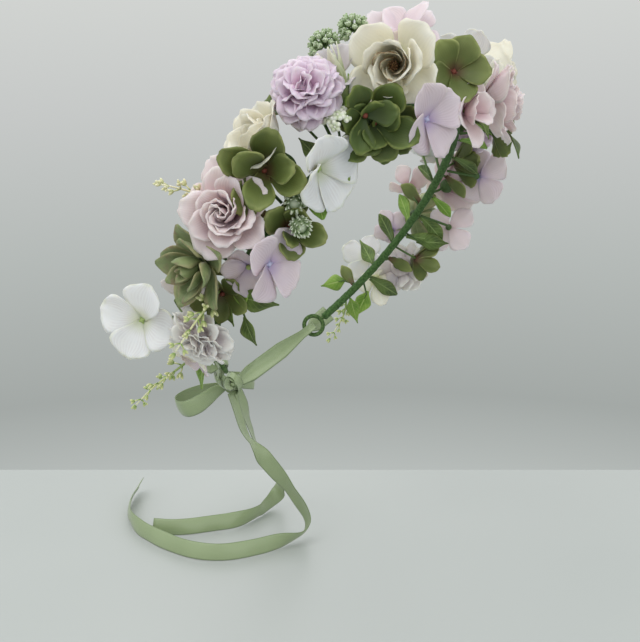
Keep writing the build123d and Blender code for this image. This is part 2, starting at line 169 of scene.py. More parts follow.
class Shape:
    """Collects closed shells into one mesh, each with a tone (v, edge, chance) and a UV."""

    def __init__(self, name, materials):
        self.name = name
        self.materials = materials
        self.points, self.faces, self.tones, self.uvs, self.slots = [], [], [], [], []
        self.count = 0

    def add(self, points, faces, tones, uvs, slot=0):
        self.points.append(points)
        self.faces.extend([tuple(i + self.count for i in f) for f in faces])
        self.tones.append(tones)
        self.uvs.append(uvs)
        self.slots.extend([slot] * len(faces))
        self.count += len(points)

    def shell(self, grid, thick, chance, slot=0):
        """Two skins and a rim round a grid of points, as thin sheet; thick may vary over the grid."""
        rows, cols = grid.shape[:2]
        along = np.gradient(grid, axis=0)
        across = np.gradient(grid, axis=1)
        normal = np.cross(across, along)
        normal /= np.maximum(np.linalg.norm(normal, axis=2, keepdims=True), 1e-12)
        half = normal * (np.asarray(thick) / 2)
        points = np.concatenate([(grid + half).reshape(-1, 3), (grid - half).reshape(-1, 3)])
        faces, size = [], rows * cols
        for i in range(rows - 1):
            for j in range(cols - 1):
                a, b, c, d = i * cols + j, i * cols + j + 1, (i + 1) * cols + j + 1, (i + 1) * cols + j
                faces.append((a, b, c, d))
                faces.append((a + size, d + size, c + size, b + size))
        rim = [j for j in range(cols)] + [i * cols + cols - 1 for i in range(1, rows)]
        rim += [(rows - 1) * cols + j for j in range(cols - 2, -1, -1)]
        rim += [i * cols for i in range(rows - 2, 0, -1)]
        for a, b in zip(rim, rim[1:] + rim[:1]):
            faces.append((a, a + size, b + size, b))
        v, u = np.meshgrid(np.linspace(0, 1, rows), np.linspace(-1, 1, cols), indexing="ij")
        tone = np.stack([v, np.abs(u), np.full_like(v, chance), np.ones_like(v)], axis=2).reshape(-1, 4)
        uv = np.stack([u * 0.5 + 0.5, v], axis=2).reshape(-1, 2)
        self.add(points, faces, np.concatenate([tone, tone]), np.concatenate([uv, uv]), slot)

    def tube(self, path, radii, sides=8, chance=0.5, slot=0):
        """A closed round tube through points, with its own radius at each."""
        path = [Vector(p) for p in path]
        if not hasattr(radii, "__len__"):
            radii = [radii] * len(path)
        points, tones, uvs = [], [], []
        side = None
        for k, here in enumerate(path):
            way = (path[min(k + 1, len(path) - 1)] - path[max(k - 1, 0)]).normalized()
            if side is None:
                side = way.orthogonal().normalized()
            side = (side - way * side.dot(way)).normalized()
            up = way.cross(side)
            share = k / (len(path) - 1)
            for s in range(sides):
                turn = 2 * math.pi * s / sides
                points.append(here + (side * math.cos(turn) + up * math.sin(turn)) * radii[k])
                tones.append((share, 0.5, chance, 1))
                uvs.append((s / sides, share))
        faces = []
        for k in range(len(path) - 1):
            for s in range(sides):
                n = (s + 1) % sides
                faces.append((k * sides + s, k * sides + n, (k + 1) * sides + n, (k + 1) * sides + s))
        faces.append(tuple(reversed(range(sides))))
        last = (len(path) - 1) * sides
        faces.append(tuple(range(last, last + sides)))
        self.add(np.array([p[:] for p in points]), faces, np.array(tones), np.array(uvs), slot)

    def blob(self, centre, axis, radius, length, sides=8, rings=6, chance=0.5, slot=0, sharp=1.0):
        """A small egg-shaped bead along an axis; sharp over 1 draws its far end to a point."""
        centre, axis = Vector(centre), Vector(axis).normalized()
        path, radii = [], []
        for k in range(rings + 1):
            share = k / rings
            angle = math.pi * share
            path.append(centre + axis * (-math.cos(angle) * length / 2))
            radii.append(max(radius * math.sin(angle) ** (sharp if share > 0.5 else 1.0), 2e-5))
        self.tube(path, radii, sides, chance, slot)

    def build(self, body, slot_name, *nodes):
        mesh = bpy.data.meshes.new(self.name)
        mesh.from_pydata(np.concatenate(self.points).tolist(), [], self.faces)
        tone = mesh.attributes.new("tone", "FLOAT_COLOR", "POINT")
        tone.data.foreach_set("color", np.concatenate(self.tones).astype(np.float32).ravel())
        layer = mesh.uv_layers.new(name="UVMap")
        corner_points = np.empty(len(mesh.loops), dtype=np.int32)
        mesh.loops.foreach_get("vertex_index", corner_points)
        uv = np.concatenate(self.uvs)[corner_points]
        layer.data.foreach_set("uv", uv.astype(np.float32).ravel())
        mesh.polygons.foreach_set("use_smooth", [True] * len(mesh.polygons))
        for material in self.materials:
            mesh.materials.append(material)
        mesh.polygons.foreach_set("material_index", self.slots)
        mesh.update()
        piece = bpy.data.objects.new(self.name, mesh)
        bpy.context.scene.collection.objects.link(piece)
        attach(piece, body)
        if nodes:
            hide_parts(*nodes)
        return piece


def petal_grid(origin, across, along, inward, length, width, shape, bends, wrap, rng,
               roll=0.0, ruffle=0.0, fold=0.0, size=(9, 11), waves=2.5):
    """A petal as a grid of points, from its base.

    along is its first direction, and inward the side that faces the flower's middle. shape is a row of
    OUTLINES. bends are (v, angle) knots, where a positive angle leans away from inward. wrap is the radius
    that it curls to across, at the base and at the tip. roll turns the side edges back, ruffle waves them,
    and fold creases the midrib.
    """
    cols, rows = size
    base_w, widest, tip_w, rounding, notch = shape
    v, u = np.meshgrid(np.linspace(0, 1, rows), np.linspace(-1, 1, cols), indexing="ij")
    t = v * (1 - rounding * np.abs(u) ** 2.6 - notch * np.exp(-(u / 0.22) ** 2))
    w = np.where(t < widest, base_w + (1 - base_w) * smooth(t / widest),
                 1 - (1 - tip_w) * smooth((t - widest) / max(1 - widest, 1e-6)))
    fine = np.linspace(0, 1, 41)
    angle = np.interp(fine, [b[0] for b in bends], [b[1] for b in bends])
    step = length / 40
    run = np.concatenate([[0], np.cumsum((np.cos(angle[:-1]) + np.cos(angle[1:])) / 2 * step)])
    drop = np.concatenate([[0], np.cumsum((np.sin(angle[:-1]) + np.sin(angle[1:])) / 2 * step)])
    at_run, at_drop = np.interp(t, fine, run), np.interp(t, fine, drop)
    at_angle = np.interp(t, fine, angle)
    radius = wrap[0] + (wrap[1] - wrap[0]) * t
    theta = u * w * width / 2 / radius
    side = radius * np.sin(theta)
    lift = radius * (1 - np.cos(theta))
    lift -= roll * width * np.clip((np.abs(u) - 0.62) / 0.38, 0, 1) ** 2 * smooth(t * 1.6 - 0.3)
    lift += fold * width * 0.5 * np.abs(u) * w
    phase = rng.uniform(0, 6.28)
    lift += ruffle * width * t ** 2 * np.sin(waves * math.pi * u + phase) * (0.35 + 0.65 * np.abs(u))
    seed = Vector((rng.uniform(0, 50), rng.uniform(0, 50), rng.uniform(0, 50)))
    for i in range(rows):
        for j in range(cols):
            spot = Vector((u[i, j] * 1.1, t[i, j] * 1.3, 0)) + seed
            lift[i, j] += noise.noise(spot) * 0.05 * width * t[i, j]
    o, a, l, n = (np.array(Vector(x)[:]) for x in (origin, across, along, inward))
    ahead = at_run[..., None] * l - at_drop[..., None] * n
    normal = np.cos(at_angle)[..., None] * n + np.sin(at_angle)[..., None] * l
    return o + ahead + side[..., None] * a + lift[..., None] * normal


def around(axis, start, turn):
    """The direction that lies square to an axis, turned from a start direction."""
    flat = (start - axis * start.dot(axis)).normalized()
    return flat * math.cos(turn) + axis.cross(flat) * math.sin(turn)


def on_spiral(axis, start, turn, polar):
    """The direction at a turn about an axis and an angle from it, and its square part."""
    radial = around(axis, start, turn)
    return axis * math.cos(polar) + radial * math.sin(polar), radial


def turned(across, inward, angle):
    """Two square directions, both turned by an angle in their own plane."""
    return (across * math.cos(angle) + inward * math.sin(angle),
            inward * math.cos(angle) - across * math.sin(angle))


def whorl(shape, centre, axis, start, spec, rng, thick=PETAL_SHEET, slot=0, scale=1.0):
    """A ring of petals about a stem, from a spec in millimetres and degrees.

    spec holds count, turn, base (distance from the axis), rise, open (angle from the axis), length, width,
    outline, bends, wrap, twist, roll and ruffle, and spread, the share by which its petals differ.
    """
    unit = MM * scale
    spread = spec.get("spread", 0.10)
    for k in range(spec["count"]):
        turn = 2 * math.pi * (k + rng.uniform(-spread, spread)) / spec["count"]
        turn += math.radians(spec.get("turn", 0))
        radial = around(axis, start, turn)
        opening = math.radians(spec["open"]) + rng.uniform(-spread, spread) * 0.8
        along = axis * math.cos(opening) + radial * math.sin(opening)
        inward = axis * math.sin(opening) - radial * math.cos(opening)
        across = along.cross(inward)
        twist = math.radians(spec.get("twist", 8)) * rng.uniform(0.6, 1.3)
        across, inward = turned(across, inward, twist)
        length = spec["length"] * unit * (1 + rng.uniform(-spread, spread))
        width = spec["width"] * unit * (1 + rng.uniform(-spread, spread))
        base = centre + radial * spec.get("base", 1.5) * unit
        base += axis * (spec.get("rise", 0) * unit + k % 2 * thick * MM)
        bends = [(v, math.radians(a) + rng.uniform(-spread, spread) * v) for v, a in spec["bends"]]
        wrap = [w * unit for w in spec["wrap"]]
        grid = petal_grid(base, across, along, inward, length, width, OUTLINES[spec["outline"]], bends, wrap,
                          rng, spec.get("roll", 0), spec.get("ruffle", 0), spec.get("fold", 0),
                          spec.get("size", (9, 11)), spec.get("waves", 2.5))
        shape.shell(grid, thick * MM, rng.random(), slot)


# the slot that each cloth is listed under
PETAL_SLOTS = {
    "olive": "petal_olive",
    "green": "petal_olive",
    "mauve": "petal_mauve",
    "grey_lilac": "petal_lavender",
    "pink": "petal_pink",
    "lavender": "petal_lavender",
    "cream": "petal_cream",
    "white": "petal_white",
}
# outline of a petal: width share at its base, where it is widest, width share at its tip,
# how round the tip is, and how deep its notch is (below 0, a small point)
OUTLINES = {
    "broad": (0.34, 0.62, 0.66, 0.24, 0.03),
    "round": (0.30, 0.60, 0.50, 0.20, 0.0),
    "pointed": (0.30, 0.50, 0.16, 0.06, -0.05),
    "floret": (0.22, 0.64, 0.50, 0.20, -0.02),
    "spoon": (0.34, 0.64, 0.42, 0.16, -0.03),
    "leaf": (0.16, 0.42, 0.05, 0.02, -0.03),
    "strap": (0.60, 0.50, 0.30, 0.10, 0.0),
}


# ---------------------------------------------------------------- materials
class Nodes:
    """A small helper that writes a material's nodes."""

    def __init__(self, name):
        self.material = bpy.data.materials.new(name)
        self.material.use_nodes = True
        self.tree = self.material.node_tree
        self.shader = self.tree.nodes["Principled BSDF"]

    def new(self, kind, **values):
        node = self.tree.nodes.new(kind)
        for key, value in values.items():
            if hasattr(node, key):
                setattr(node, key, value)
            else:
                node.inputs[key.replace("_", " ")].default_value = value
        return node

    def link(self, a, b):
        self.tree.links.new(a, b)

    def math(self, kind, a, b=0.0):
        node = self.tree.nodes.new("ShaderNodeMath")
        node.operation = kind
        for socket, value in zip(node.inputs, (a, b)):
            if isinstance(value, (int, float)):
                socket.default_value = value
            else:
                self.link(value, socket)
        return node.outputs[0]

    def mix(self, share, a, b, kind="MIX"):
        node = self.tree.nodes.new("ShaderNodeMix")
        node.data_type = "RGBA"
        node.blend_type = kind
        for socket, value in ((node.inputs[0], share), (node.inputs[6], a), (node.inputs[7], b)):
            if isinstance(value, (int, float)):
                socket.default_value = value
            elif isinstance(value, (tuple, list)):
                socket.default_value = (*value[:3], 1)
            else:
                self.link(value, socket)
        return node.outputs[2]

    def band(self, value, low, high):
        """0 below low, 1 above high."""
        node = self.new("ShaderNodeMapRange")
        node.interpolation_type = "SMOOTHSTEP"
        self.link(value, node.inputs["Value"])
        node.inputs["From Min"].default_value = low
        node.inputs["From Max"].default_value = high
        return node.outputs[0]

    def tone(self):
        """v from base to tip, distance to the side edge, and each petal's own chance."""
        source = self.new("ShaderNodeAttribute", attribute_name="tone")
        split = self.new("ShaderNodeSeparateColor")
        self.link(source.outputs["Color"], split.inputs[0])
        return split.outputs[0], split.outputs[1], split.outputs[2]

    def noise(self, scale, detail=4.0, vector=None):
        node = self.new("ShaderNodeTexNoise", Scale=scale, Detail=detail)
        if vector is None:
            vector = self.new("ShaderNodeTexCoord").outputs["Object"]
        self.link(vector, node.inputs["Vector"])
        return node.outputs[0]

    def bump(self, height, strength, distance):
        node = self.new("ShaderNodeBump", Strength=strength, Distance=distance)
        self.link(height, node.inputs["Height"])
        self.link(node.outputs[0], self.shader.inputs["Normal"])

    def finish(self, colour, roughness, sheen=0.0, sss=0.0, specular=0.3):
        self.link(colour, self.shader.inputs["Base Color"])
        if isinstance(roughness, float):
            self.shader.inputs["Roughness"].default_value = roughness
        else:
            self.link(roughness, self.shader.inputs["Roughness"])
        self.shader.inputs["Sheen Weight"].default_value = sheen
        self.shader.inputs["Sheen Roughness"].default_value = 0.5
        self.shader.inputs["Specular IOR Level"].default_value = specular
        if sss:
            self.shader.inputs["Subsurface Weight"].default_value = sss
            self.shader.inputs["Subsurface Radius"].default_value = (1.0, 0.8, 0.6)
            self.shader.inputs["Subsurface Scale"].default_value = 2.5 * MM
        return self.material


def vein_fan(n, count, warp=0.35):
    """Fine veins that fan out from a petal's base, from its UV."""
    uv = n.new("ShaderNodeUVMap")
    split = n.new("ShaderNodeSeparateXYZ")
    n.link(uv.outputs[0], split.inputs[0])
    u = n.math("SUBTRACT", split.outputs[0], 0.5)
    wobble = n.math("MULTIPLY", n.math("SUBTRACT", n.noise(260.0, 3.0), 0.5), warp)
    fan = n.math("ADD", n.math("MULTIPLY", u, count), wobble)
    return n.math("ABSOLUTE", n.math("SINE", fan))


def petal_material(name, base, mid, tip, edge=None, edge_share=0.5, vein=0.10, variety=0.06, rough=0.66,
                   sss=0.35, sheen=0.12, blush=None):
    """Stiffened fabric petals: a colour at the base, the middle and the tip, and one along the edges."""
    n = Nodes(name)
    v, side, chance = n.tone()
    colour = n.mix(n.band(v, 0.02, 0.45), base, mid)
    colour = n.mix(n.band(v, 0.45, 1.0), colour, tip)
    if edge:
        rim = n.math("MAXIMUM", n.band(v, 0.86, 1.0), n.band(side, 0.80, 1.0))
        patchy = n.math("MULTIPLY", rim, n.band(n.noise(170.0, 2.0), 0.35, 0.6))
        colour = n.mix(n.math("MULTIPLY", patchy, edge_share), colour, edge)
    if blush:
        colour = n.mix(n.math("MULTIPLY", n.band(n.noise(90.0, 2.0), 0.45, 0.7), 0.5), colour, blush)
    veins = vein_fan(n, 46.0)
    dark = n.mix(1.0, colour, (0.84, 0.79, 0.81), "MULTIPLY")
    fade = n.math("MULTIPLY", n.band(veins, 0.3, 1.0), n.band(n.noise(120.0, 2.0), 0.3, 0.7))
    shade = n.math("MULTIPLY", fade, vein * 4)
    colour = n.mix(shade, colour, dark)
    value = n.math("ADD", 1 - variety, n.math("MULTIPLY", chance, variety * 2))
    hsv = n.new("ShaderNodeHueSaturation")
    n.link(colour, hsv.inputs["Color"])
    n.link(value, hsv.inputs["Value"])
    weave = n.math("ADD", n.math("MULTIPLY", n.noise(2600.0, 2.0), 0.4), n.math("MULTIPLY", veins, 0.10))
    height = n.math("ADD", weave, n.math("MULTIPLY", n.noise(320.0, 3.0), 0.9))
    n.bump(height, 0.40, 0.12 * MM)
    rough_noise = n.math("ADD", rough - 0.06, n.math("MULTIPLY", n.noise(300.0, 2.0), 0.12))
    return n.finish(hsv.outputs[0], rough_noise, sheen, sss)


def leaf_material(name, deep, mid, edge, rib, rough=0.6, edge_share=0.6, brown=None):
    """A printed fabric leaf with a midrib and side veins."""
    n = Nodes(name)
    v, side, chance = n.tone()
    colour = n.mix(n.band(n.noise(130.0, 3.0), 0.35, 0.65), deep, mid)
    colour = n.mix(n.math("MULTIPLY", n.band(side, 0.55, 1.0), edge_share), colour, edge)
    ribs = n.math("SINE", n.math("MULTIPLY", n.math("SUBTRACT", v, n.math("MULTIPLY", side, 0.35)), 44.0))
    side_vein = n.math("MULTIPLY", n.band(ribs, 0.72, 1.0), 0.35)
    midrib = n.math("SUBTRACT", 1.0, n.band(side, 0.02, 0.10))
    colour = n.mix(n.math("MAXIMUM", side_vein, midrib), colour, rib)
    if brown:
        spots = n.math("MULTIPLY", n.band(v, 0.55, 1.0), n.band(n.noise(230.0, 3.0), 0.5, 0.7))
        colour = n.mix(n.math("MULTIPLY", spots, 0.7), colour, brown)
    hsv = n.new("ShaderNodeHueSaturation")
    n.link(colour, hsv.inputs["Color"])
    n.link(n.math("ADD", 0.82, n.math("MULTIPLY", chance, 0.36)), hsv.inputs["Value"])
    height = n.math("ADD", n.math("MULTIPLY", n.math("MAXIMUM", side_vein, midrib), -1.0),
                    n.math("MULTIPLY", n.noise(700.0, 3.0), 0.4))
    n.bump(height, 0.5, 0.15 * MM)
    return n.finish(hsv.outputs[0], rough, 0.05, 0.05, 0.4)


def plastic_material(name, low, high, rough=0.5, speck=None, sss=0.1):
    """Moulded plastic, from its colour at the foot to its colour at the tip, with fine mottling."""
    n = Nodes(name)
    v, side, chance = n.tone()
    colour = n.mix(n.band(v, 0.1, 0.9), low, high)
    mottled = n.mix(1.0, colour, (0.82, 0.84, 0.78), "MULTIPLY")
    colour = n.mix(n.band(n.noise(500.0, 4.0), 0.4, 0.7), colour, mottled)
    if speck:
        colour = n.mix(n.math("MULTIPLY", n.band(v, 0.7, 1.0), 0.8), colour, speck)
    n.bump(n.noise(900.0, 3.0), 0.3, 0.08 * MM)
    return n.finish(colour, rough, 0.0, sss, 0.45)


def srgb(*values):
    """A colour as seen on screen, as the linear one that shaders take."""
    return tuple(v / 12.92 if v <= 0.04045 else ((v + 0.055) / 1.055) ** 2.4 for v in values)


def wire_material(name, colour, dark, pitch):
    """Crepe paper wound on wire: fine stretched creases and a slanting wrap."""
    n = Nodes(name)
    crepe = n.noise(900.0, 4.0)
    tint = n.mix(n.band(crepe, 0.35, 0.65), dark, colour)
    n.bump(n.math("ADD", crepe, n.noise(pitch, 2.0)), 0.6, 0.15 * MM)
    return n.finish(tint, 0.82, 0.1, 0.0, 0.2)


def ribbon_material(name, face, shade, edge):
    """Satin: smooth across, with a faint lengthways grain and a woven selvedge."""
    n = Nodes(name)
    v, side, chance = n.tone()
    uv = n.new("ShaderNodeUVMap")
    stretch = n.new("ShaderNodeMapping")
    stretch.inputs["Scale"].default_value = (90, 900, 1)
    n.link(uv.outputs[0], stretch.inputs[0])
    grain = n.noise(1.0, 3.0, stretch.outputs[0])
    colour = n.mix(n.band(grain, 0.3, 0.7), shade, face)
    colour = n.mix(n.band(side, 0.88, 0.95), colour, edge)
    ridge = n.math("MULTIPLY", n.band(side, 0.86, 0.92), 0.8)
    fine = n.math("MULTIPLY", n.noise(2400.0, 2.0), 0.3)
    n.bump(n.math("ADD", n.math("ADD", ridge, fine), n.math("MULTIPLY", grain, 0.5)), 0.35, 0.1 * MM)
    n.shader.inputs["Anisotropic"].default_value = 0.55
    material = n.finish(colour, n.math("ADD", 0.27, n.math("MULTIPLY", grain, 0.12)), 0.2, 0.03, 0.55)
    return material


GREEN_CLOTH = dict(edge_share=0.7, vein=0.10, variety=0.14, rough=0.46, sss=0.08, sheen=0.03)
MATERIALS = {
    "cream": petal_material("petal_cream", srgb(.80, .81, .58), srgb(.94, .92, .83), srgb(.95, .93, .86),
                            srgb(.88, .84, .72), 0.35, vein=0.04),
    "cream_heart": petal_material("petal_cream_heart", srgb(.66, .57, .40), srgb(.90, .86, .73),
                                  srgb(.93, .90, .79), srgb(.50, .35, .21), 0.95, vein=0.05),
    "mauve": petal_material("petal_mauve", srgb(.66, .48, .54), srgb(.87, .76, .78), srgb(.93, .86, .86),
                            srgb(.95, .91, .89), 0.6),
    "lilac": petal_material("petal_lilac", srgb(.68, .48, .60), srgb(.87, .74, .83), srgb(.92, .84, .90),
                            srgb(.95, .90, .94), 0.6),
    "lavender": petal_material("petal_lavender", srgb(.68, .60, .74), srgb(.83, .76, .80),
                               srgb(.88, .81, .84), srgb(.92, .87, .88), 0.5, vein=0.16),
    "pink": petal_material("petal_pink", srgb(.80, .70, .72), srgb(.90, .82, .84), srgb(.93, .86, .88),
                           srgb(.95, .92, .92), 0.5),
    "white": petal_material("petal_white", srgb(.78, .80, .68), srgb(.91, .91, .91), srgb(.93, .93, .93),
                            srgb(.84, .86, .68), 0.45, vein=0.12),
    "ivory": petal_material("petal_ivory", srgb(.70, .64, .66), srgb(.86, .82, .82), srgb(.93, .92, .89),
                            srgb(.96, .95, .93), 0.6),
    "grey_lilac": petal_material("petal_grey_lilac", srgb(.66, .62, .62), srgb(.80, .76, .77),
                                 srgb(.86, .83, .84), srgb(.90, .88, .86), 0.5, vein=0.14),
    "olive": petal_material("petal_olive", srgb(.32, .22, .15), srgb(.34, .39, .19), srgb(.46, .51, .28),
                            srgb(.64, .66, .42), blush=srgb(.30, .36, .17), **GREEN_CLOTH),
    "green": petal_material("petal_green", srgb(.20, .26, .12), srgb(.25, .31, .14), srgb(.36, .43, .21),
                            srgb(.58, .62, .34), blush=srgb(.22, .31, .13), **GREEN_CLOTH),
    "succulent": leaf_material("succulent", srgb(.46, .52, .34), srgb(.57, .62, .43), srgb(.68, .64, .48),
                               srgb(.56, .61, .43), 0.50, 0.6, srgb(.56, .44, .38)),
    "leaf": leaf_material("leaf", srgb(.25, .34, .14), srgb(.38, .48, .22), srgb(.50, .56, .30),
                          srgb(.52, .60, .36), 0.5, 0.4),
    "leaf_bright": leaf_material("leaf_bright", srgb(.40, .56, .18), srgb(.52, .66, .26),
                                 srgb(.64, .74, .38), srgb(.64, .74, .42), 0.5, 0.4),
    "sprig_cream": plastic_material("sprig_cream", srgb(.72, .76, .50), srgb(.93, .91, .76), 0.5,
                                    srgb(.96, .95, .85)),
    "sprig_green": plastic_material("sprig_green", srgb(.50, .64, .30), srgb(.88, .88, .66), 0.5,
                                    srgb(.96, .95, .84)),
    "knob_white": plastic_material("knob_white", srgb(.78, .84, .62), srgb(.95, .96, .90), 0.45,
                                   srgb(.98, .98, .95)),
    "pod": plastic_material("pod", srgb(.52, .62, .42), srgb(.70, .77, .62), 0.6, srgb(.92, .94, .87)),
    "stem": plastic_material("stem_plastic", srgb(.26, .37, .17), srgb(.35, .46, .23), 0.55),
    "brown": plastic_material("flower_heart", srgb(.13, .08, .05), srgb(.36, .24, .14), 0.7,
                              srgb(.58, .44, .26)),
    "red_heart": plastic_material("floret_heart_red", srgb(.34, .14, .12), srgb(.48, .24, .18), 0.6),
    "blue_heart": plastic_material("floret_heart_blue", srgb(.52, .52, .70), srgb(.76, .76, .88), 0.5),
    "green_heart": plastic_material("floret_heart_green", srgb(.46, .56, .28), srgb(.66, .74, .46), 0.5),
    "tape": wire_material("floral_tape", srgb(.30, .42, .23), srgb(.20, .31, .15), 400.0),
    "wire": wire_material("wire_paper", srgb(.34, .44, .25), srgb(.22, .32, .16), 700.0),
    "ribbon": ribbon_material("ribbon", srgb(.63, .69, .53), srgb(.53, .60, .44), srgb(.48, .55, .39)),
    "bud": petal_material("petal_bud", srgb(.44, .54, .28), srgb(.60, .66, .44), srgb(.91, .91, .82),
                          srgb(.86, .88, .74), 0.5),
}


# ---------------------------------------------------------------- camera, table and light
CAMERA_PLACE = (-0.37616, -0.23552, 0.07626)
CAMERA_AHEAD = Vector((0.80890, 0.52955, -0.25545)).normalized()
CAMERA_RIGHT = Vector((0.54772, -0.83666, 0)).normalized()
LENS, SENSOR = 50.12, 36        # in mm
VIEW_AHEAD = Vector((0.83666, 0.54772, 0))      # the camera's own directions, laid level
VIEW_RIGHT = Vector((0.54772, -0.83666, 0))
TABLE_REACH = 0.578             # camera to the table's back edge, level
TABLE_BEHIND = 1.6              # how far the table runs on behind the camera
TABLE_HALF_WIDTH = 1.8
TABLE_THICKNESS = 0.02


def place_in_scene(name, data):
    thing = bpy.data.objects.new(name, data)
    bpy.context.scene.collection.objects.link(thing)
    return thing


def make_camera():
    data = bpy.data.cameras.new("camera")
    data.sensor_fit = "HORIZONTAL"
    data.sensor_width = SENSOR
    data.lens = LENS
    data.clip_start = 0.01
    camera = place_in_scene("camera", data)
    camera.location = CAMERA_PLACE
    up = CAMERA_RIGHT.cross(CAMERA_AHEAD)
    camera.rotation_euler = Matrix((CAMERA_RIGHT, up, -CAMERA_AHEAD)).transposed().to_euler()
    bpy.context.scene.camera = camera
    return camera


camera = make_camera()


def make_table():
    """A pale table top, with its back edge where the wall begins."""
    back = camera.location + VIEW_AHEAD * TABLE_REACH
    near = camera.location - VIEW_AHEAD * TABLE_BEHIND
    aside = VIEW_RIGHT * TABLE_HALF_WIDTH
    corners = [back + aside, back - aside, near - aside, near + aside]
    mesh = bpy.data.meshes.new("table_top")
    high, low = -TABLE_DROP, -TABLE_DROP - TABLE_THICKNESS
    points = [(c.x, c.y, high) for c in corners] + [(c.x, c.y, low) for c in corners]
    faces = [(0, 1, 2, 3), (7, 6, 5, 4), (0, 4, 5, 1), (1, 5, 6, 2), (2, 6, 7, 3), (3, 7, 4, 0)]
    mesh.from_pydata(points, [], faces)
    n = Nodes("table_white")
    tint = n.mix(n.noise(6.0, 2.0), srgb(.70, .72, .71), srgb(.73, .745, .735))
    n.bump(n.noise(240.0, 2.0), 0.02, 0.1 * MM)
    mesh.materials.append(n.finish(tint, 0.38, 0.0, 0.0, 0.4))
    table = place_in_scene("table_top", mesh)


def make_world():
    """A pale studio wall as the surroundings: brighter above, greyer towards the table."""
    world = bpy.data.worlds.new("studio")
    bpy.context.scene.world = world
    world.use_nodes = True
    tree = world.node_tree
    ground = tree.nodes["Background"]
    source = tree.nodes.new("ShaderNodeTexCoord")
    split = tree.nodes.new("ShaderNodeSeparateXYZ")
    ramp = tree.nodes.new("ShaderNodeValToRGB")
    shift = tree.nodes.new("ShaderNodeMath")
    shift.operation = "MULTIPLY_ADD"
    shift.inputs[1].default_value = 0.5
    shift.inputs[2].default_value = 0.5
    tree.links.new(source.outputs["Generated"], split.inputs[0])
    tree.links.new(split.outputs[2], shift.inputs[0])
    tree.links.new(shift.outputs[0], ramp.inputs[0])
    tree.links.new(ramp.outputs[0], ground.inputs[0])
    stops = [(0.0, (.62, .63, .62)), (0.294, (.72, .74, .73)), (0.335, (.64, .66, .65)),
             (0.41, (.71, .73, .72)), (0.49, (.78, .79, .785)), (0.545, (.82, .83, .82)),
             (0.70, (.93, .94, .94)), (1.0, (.97, .98, .98))]
    elements = ramp.color_ramp.elements
    elements[0].position, elements[0].color = stops[0][0], (*srgb(*stops[0][1]), 1)
    elements[1].position, elements[1].color = stops[-1][0], (*srgb(*stops[-1][1]), 1)
    for place, colour in stops[1:-1]:
        elements.new(place).color = (*srgb(*colour), 1)


def make_light(name, place, size, power, colour=(1, 1, 1)):
    data = bpy.data.lights.new(name, "AREA")
    data.shape = "DISK"
    data.size, data.energy, data.color = size, power, colour
    lamp = place_in_scene(name, data)
    lamp.location = place
    lamp.rotation_euler = (-Vector(place)).to_track_quat("-Z", "Y").to_euler()


make_table()
make_world()
make_light("key", (-0.55, 0.10, 1.15), 1.2, 5.0, (1.0, 0.99, 0.97))
make_light("front", (-0.55, -1.0, 0.45), 1.1, 1.8, (0.97, 0.98, 1.0))
make_light("rim", (0.85, 0.55, 0.75), 0.9, 1.8, (1.0, 0.99, 0.97))
bpy.context.scene.view_settings.view_transform = "Standard"


# ---------------------------------------------------------------- ribbon tails
def route(points):
    """The smooth line of a route's points, and a mesh's worth of places along it."""
    data = bpy.data.curves.new("route", "CURVE")
    data.dimensions = "3D"
    data.resolution_u = 10
    spline = data.splines.new("NURBS")
    spline.points.add(len(points) - 1)
    for point, place in zip(spline.points, points):
        point.co = (*place, 1)
    spline.order_u = 3
    spline.use_endpoint_u = True
    holder = bpy.data.objects.new("route", data)
    mesh = bpy.data.meshes.new_from_object(holder)
    places = [Vector(v.co) for v in mesh.vertices]
    bpy.data.objects.remove(holder)
    bpy.data.meshes.remove(mesh)
    bpy.data.curves.remove(data)
    return places


def strip_grid(path, sides, widths, cup=0.0, cols=9, ripple=0.0, rng=None):
    """A flat ribbon along a path. sides are (share, direction) for its width, widths are (share, width)."""
    count = len(path)
    lengths = [0.0]
    for a, b in zip(path, path[1:]):
        lengths.append(lengths[-1] + (b - a).length)
    shares = [run / lengths[-1] for run in lengths]
    keys = [s for s, d in sides]
    grid = np.zeros((count, cols, 3))
    phase = rng.uniform(0, 6) if rng else 0.0
    for k, here in enumerate(path):
        way = (path[min(k + 1, count - 1)] - path[max(k - 1, 0)]).normalized()
        side = Vector([np.interp(shares[k], keys, [d[i] for s, d in sides]) for i in range(3)])
        side = (side - way * side.dot(way)).normalized()
        face = way.cross(side)
        width = np.interp(shares[k], [s for s, w in widths], [w for s, w in widths])
        for j in range(cols):
            u = -1 + 2 * j / (cols - 1)
            lift = cup * width * (u * u - 0.4)
            lift += ripple * width * math.sin(lengths[k] * 260 + phase) * u
            grid[k, j] = (here + side * (u * width / 2) + face * lift)[:]
    return grid


RIBBON_WIDTH = 9.4 * MM
TAILS = {
    "ribbon_tail_long": [
        (-2.3, 69, -92.4), (-3, 65, -104), (-1, 61, -118), (5, 53, -131), (12, 45, -145),
        (19, 38, -160), (22, 32, -173), (15, 32, -179.2), (2, 40, -179.2), (-13, 48, -179.2),
        (-28, 60, -179.2), (-35, 79, -179.2), (-34, 101, -179.2), (-31, 121, -179.2),
        (-22, 138, -179.2), (-6, 152, -179.2), (12, 160, -177),
    ],
    "ribbon_tail_short": [
        (2.3, 69, -92.4), (6, 67, -104), (13, 69, -119), (22, 70, -134), (32, 67, -149),
        (41, 67, -163), (45, 71, -174), (37, 74, -179.2), (24, 72, -179.2), (10, 76, -179.2),
        (-3, 87, -179.2), (-14, 96, -179.2), (-21, 105, -179.2), (-25, 114, -179.2),
    ],
}
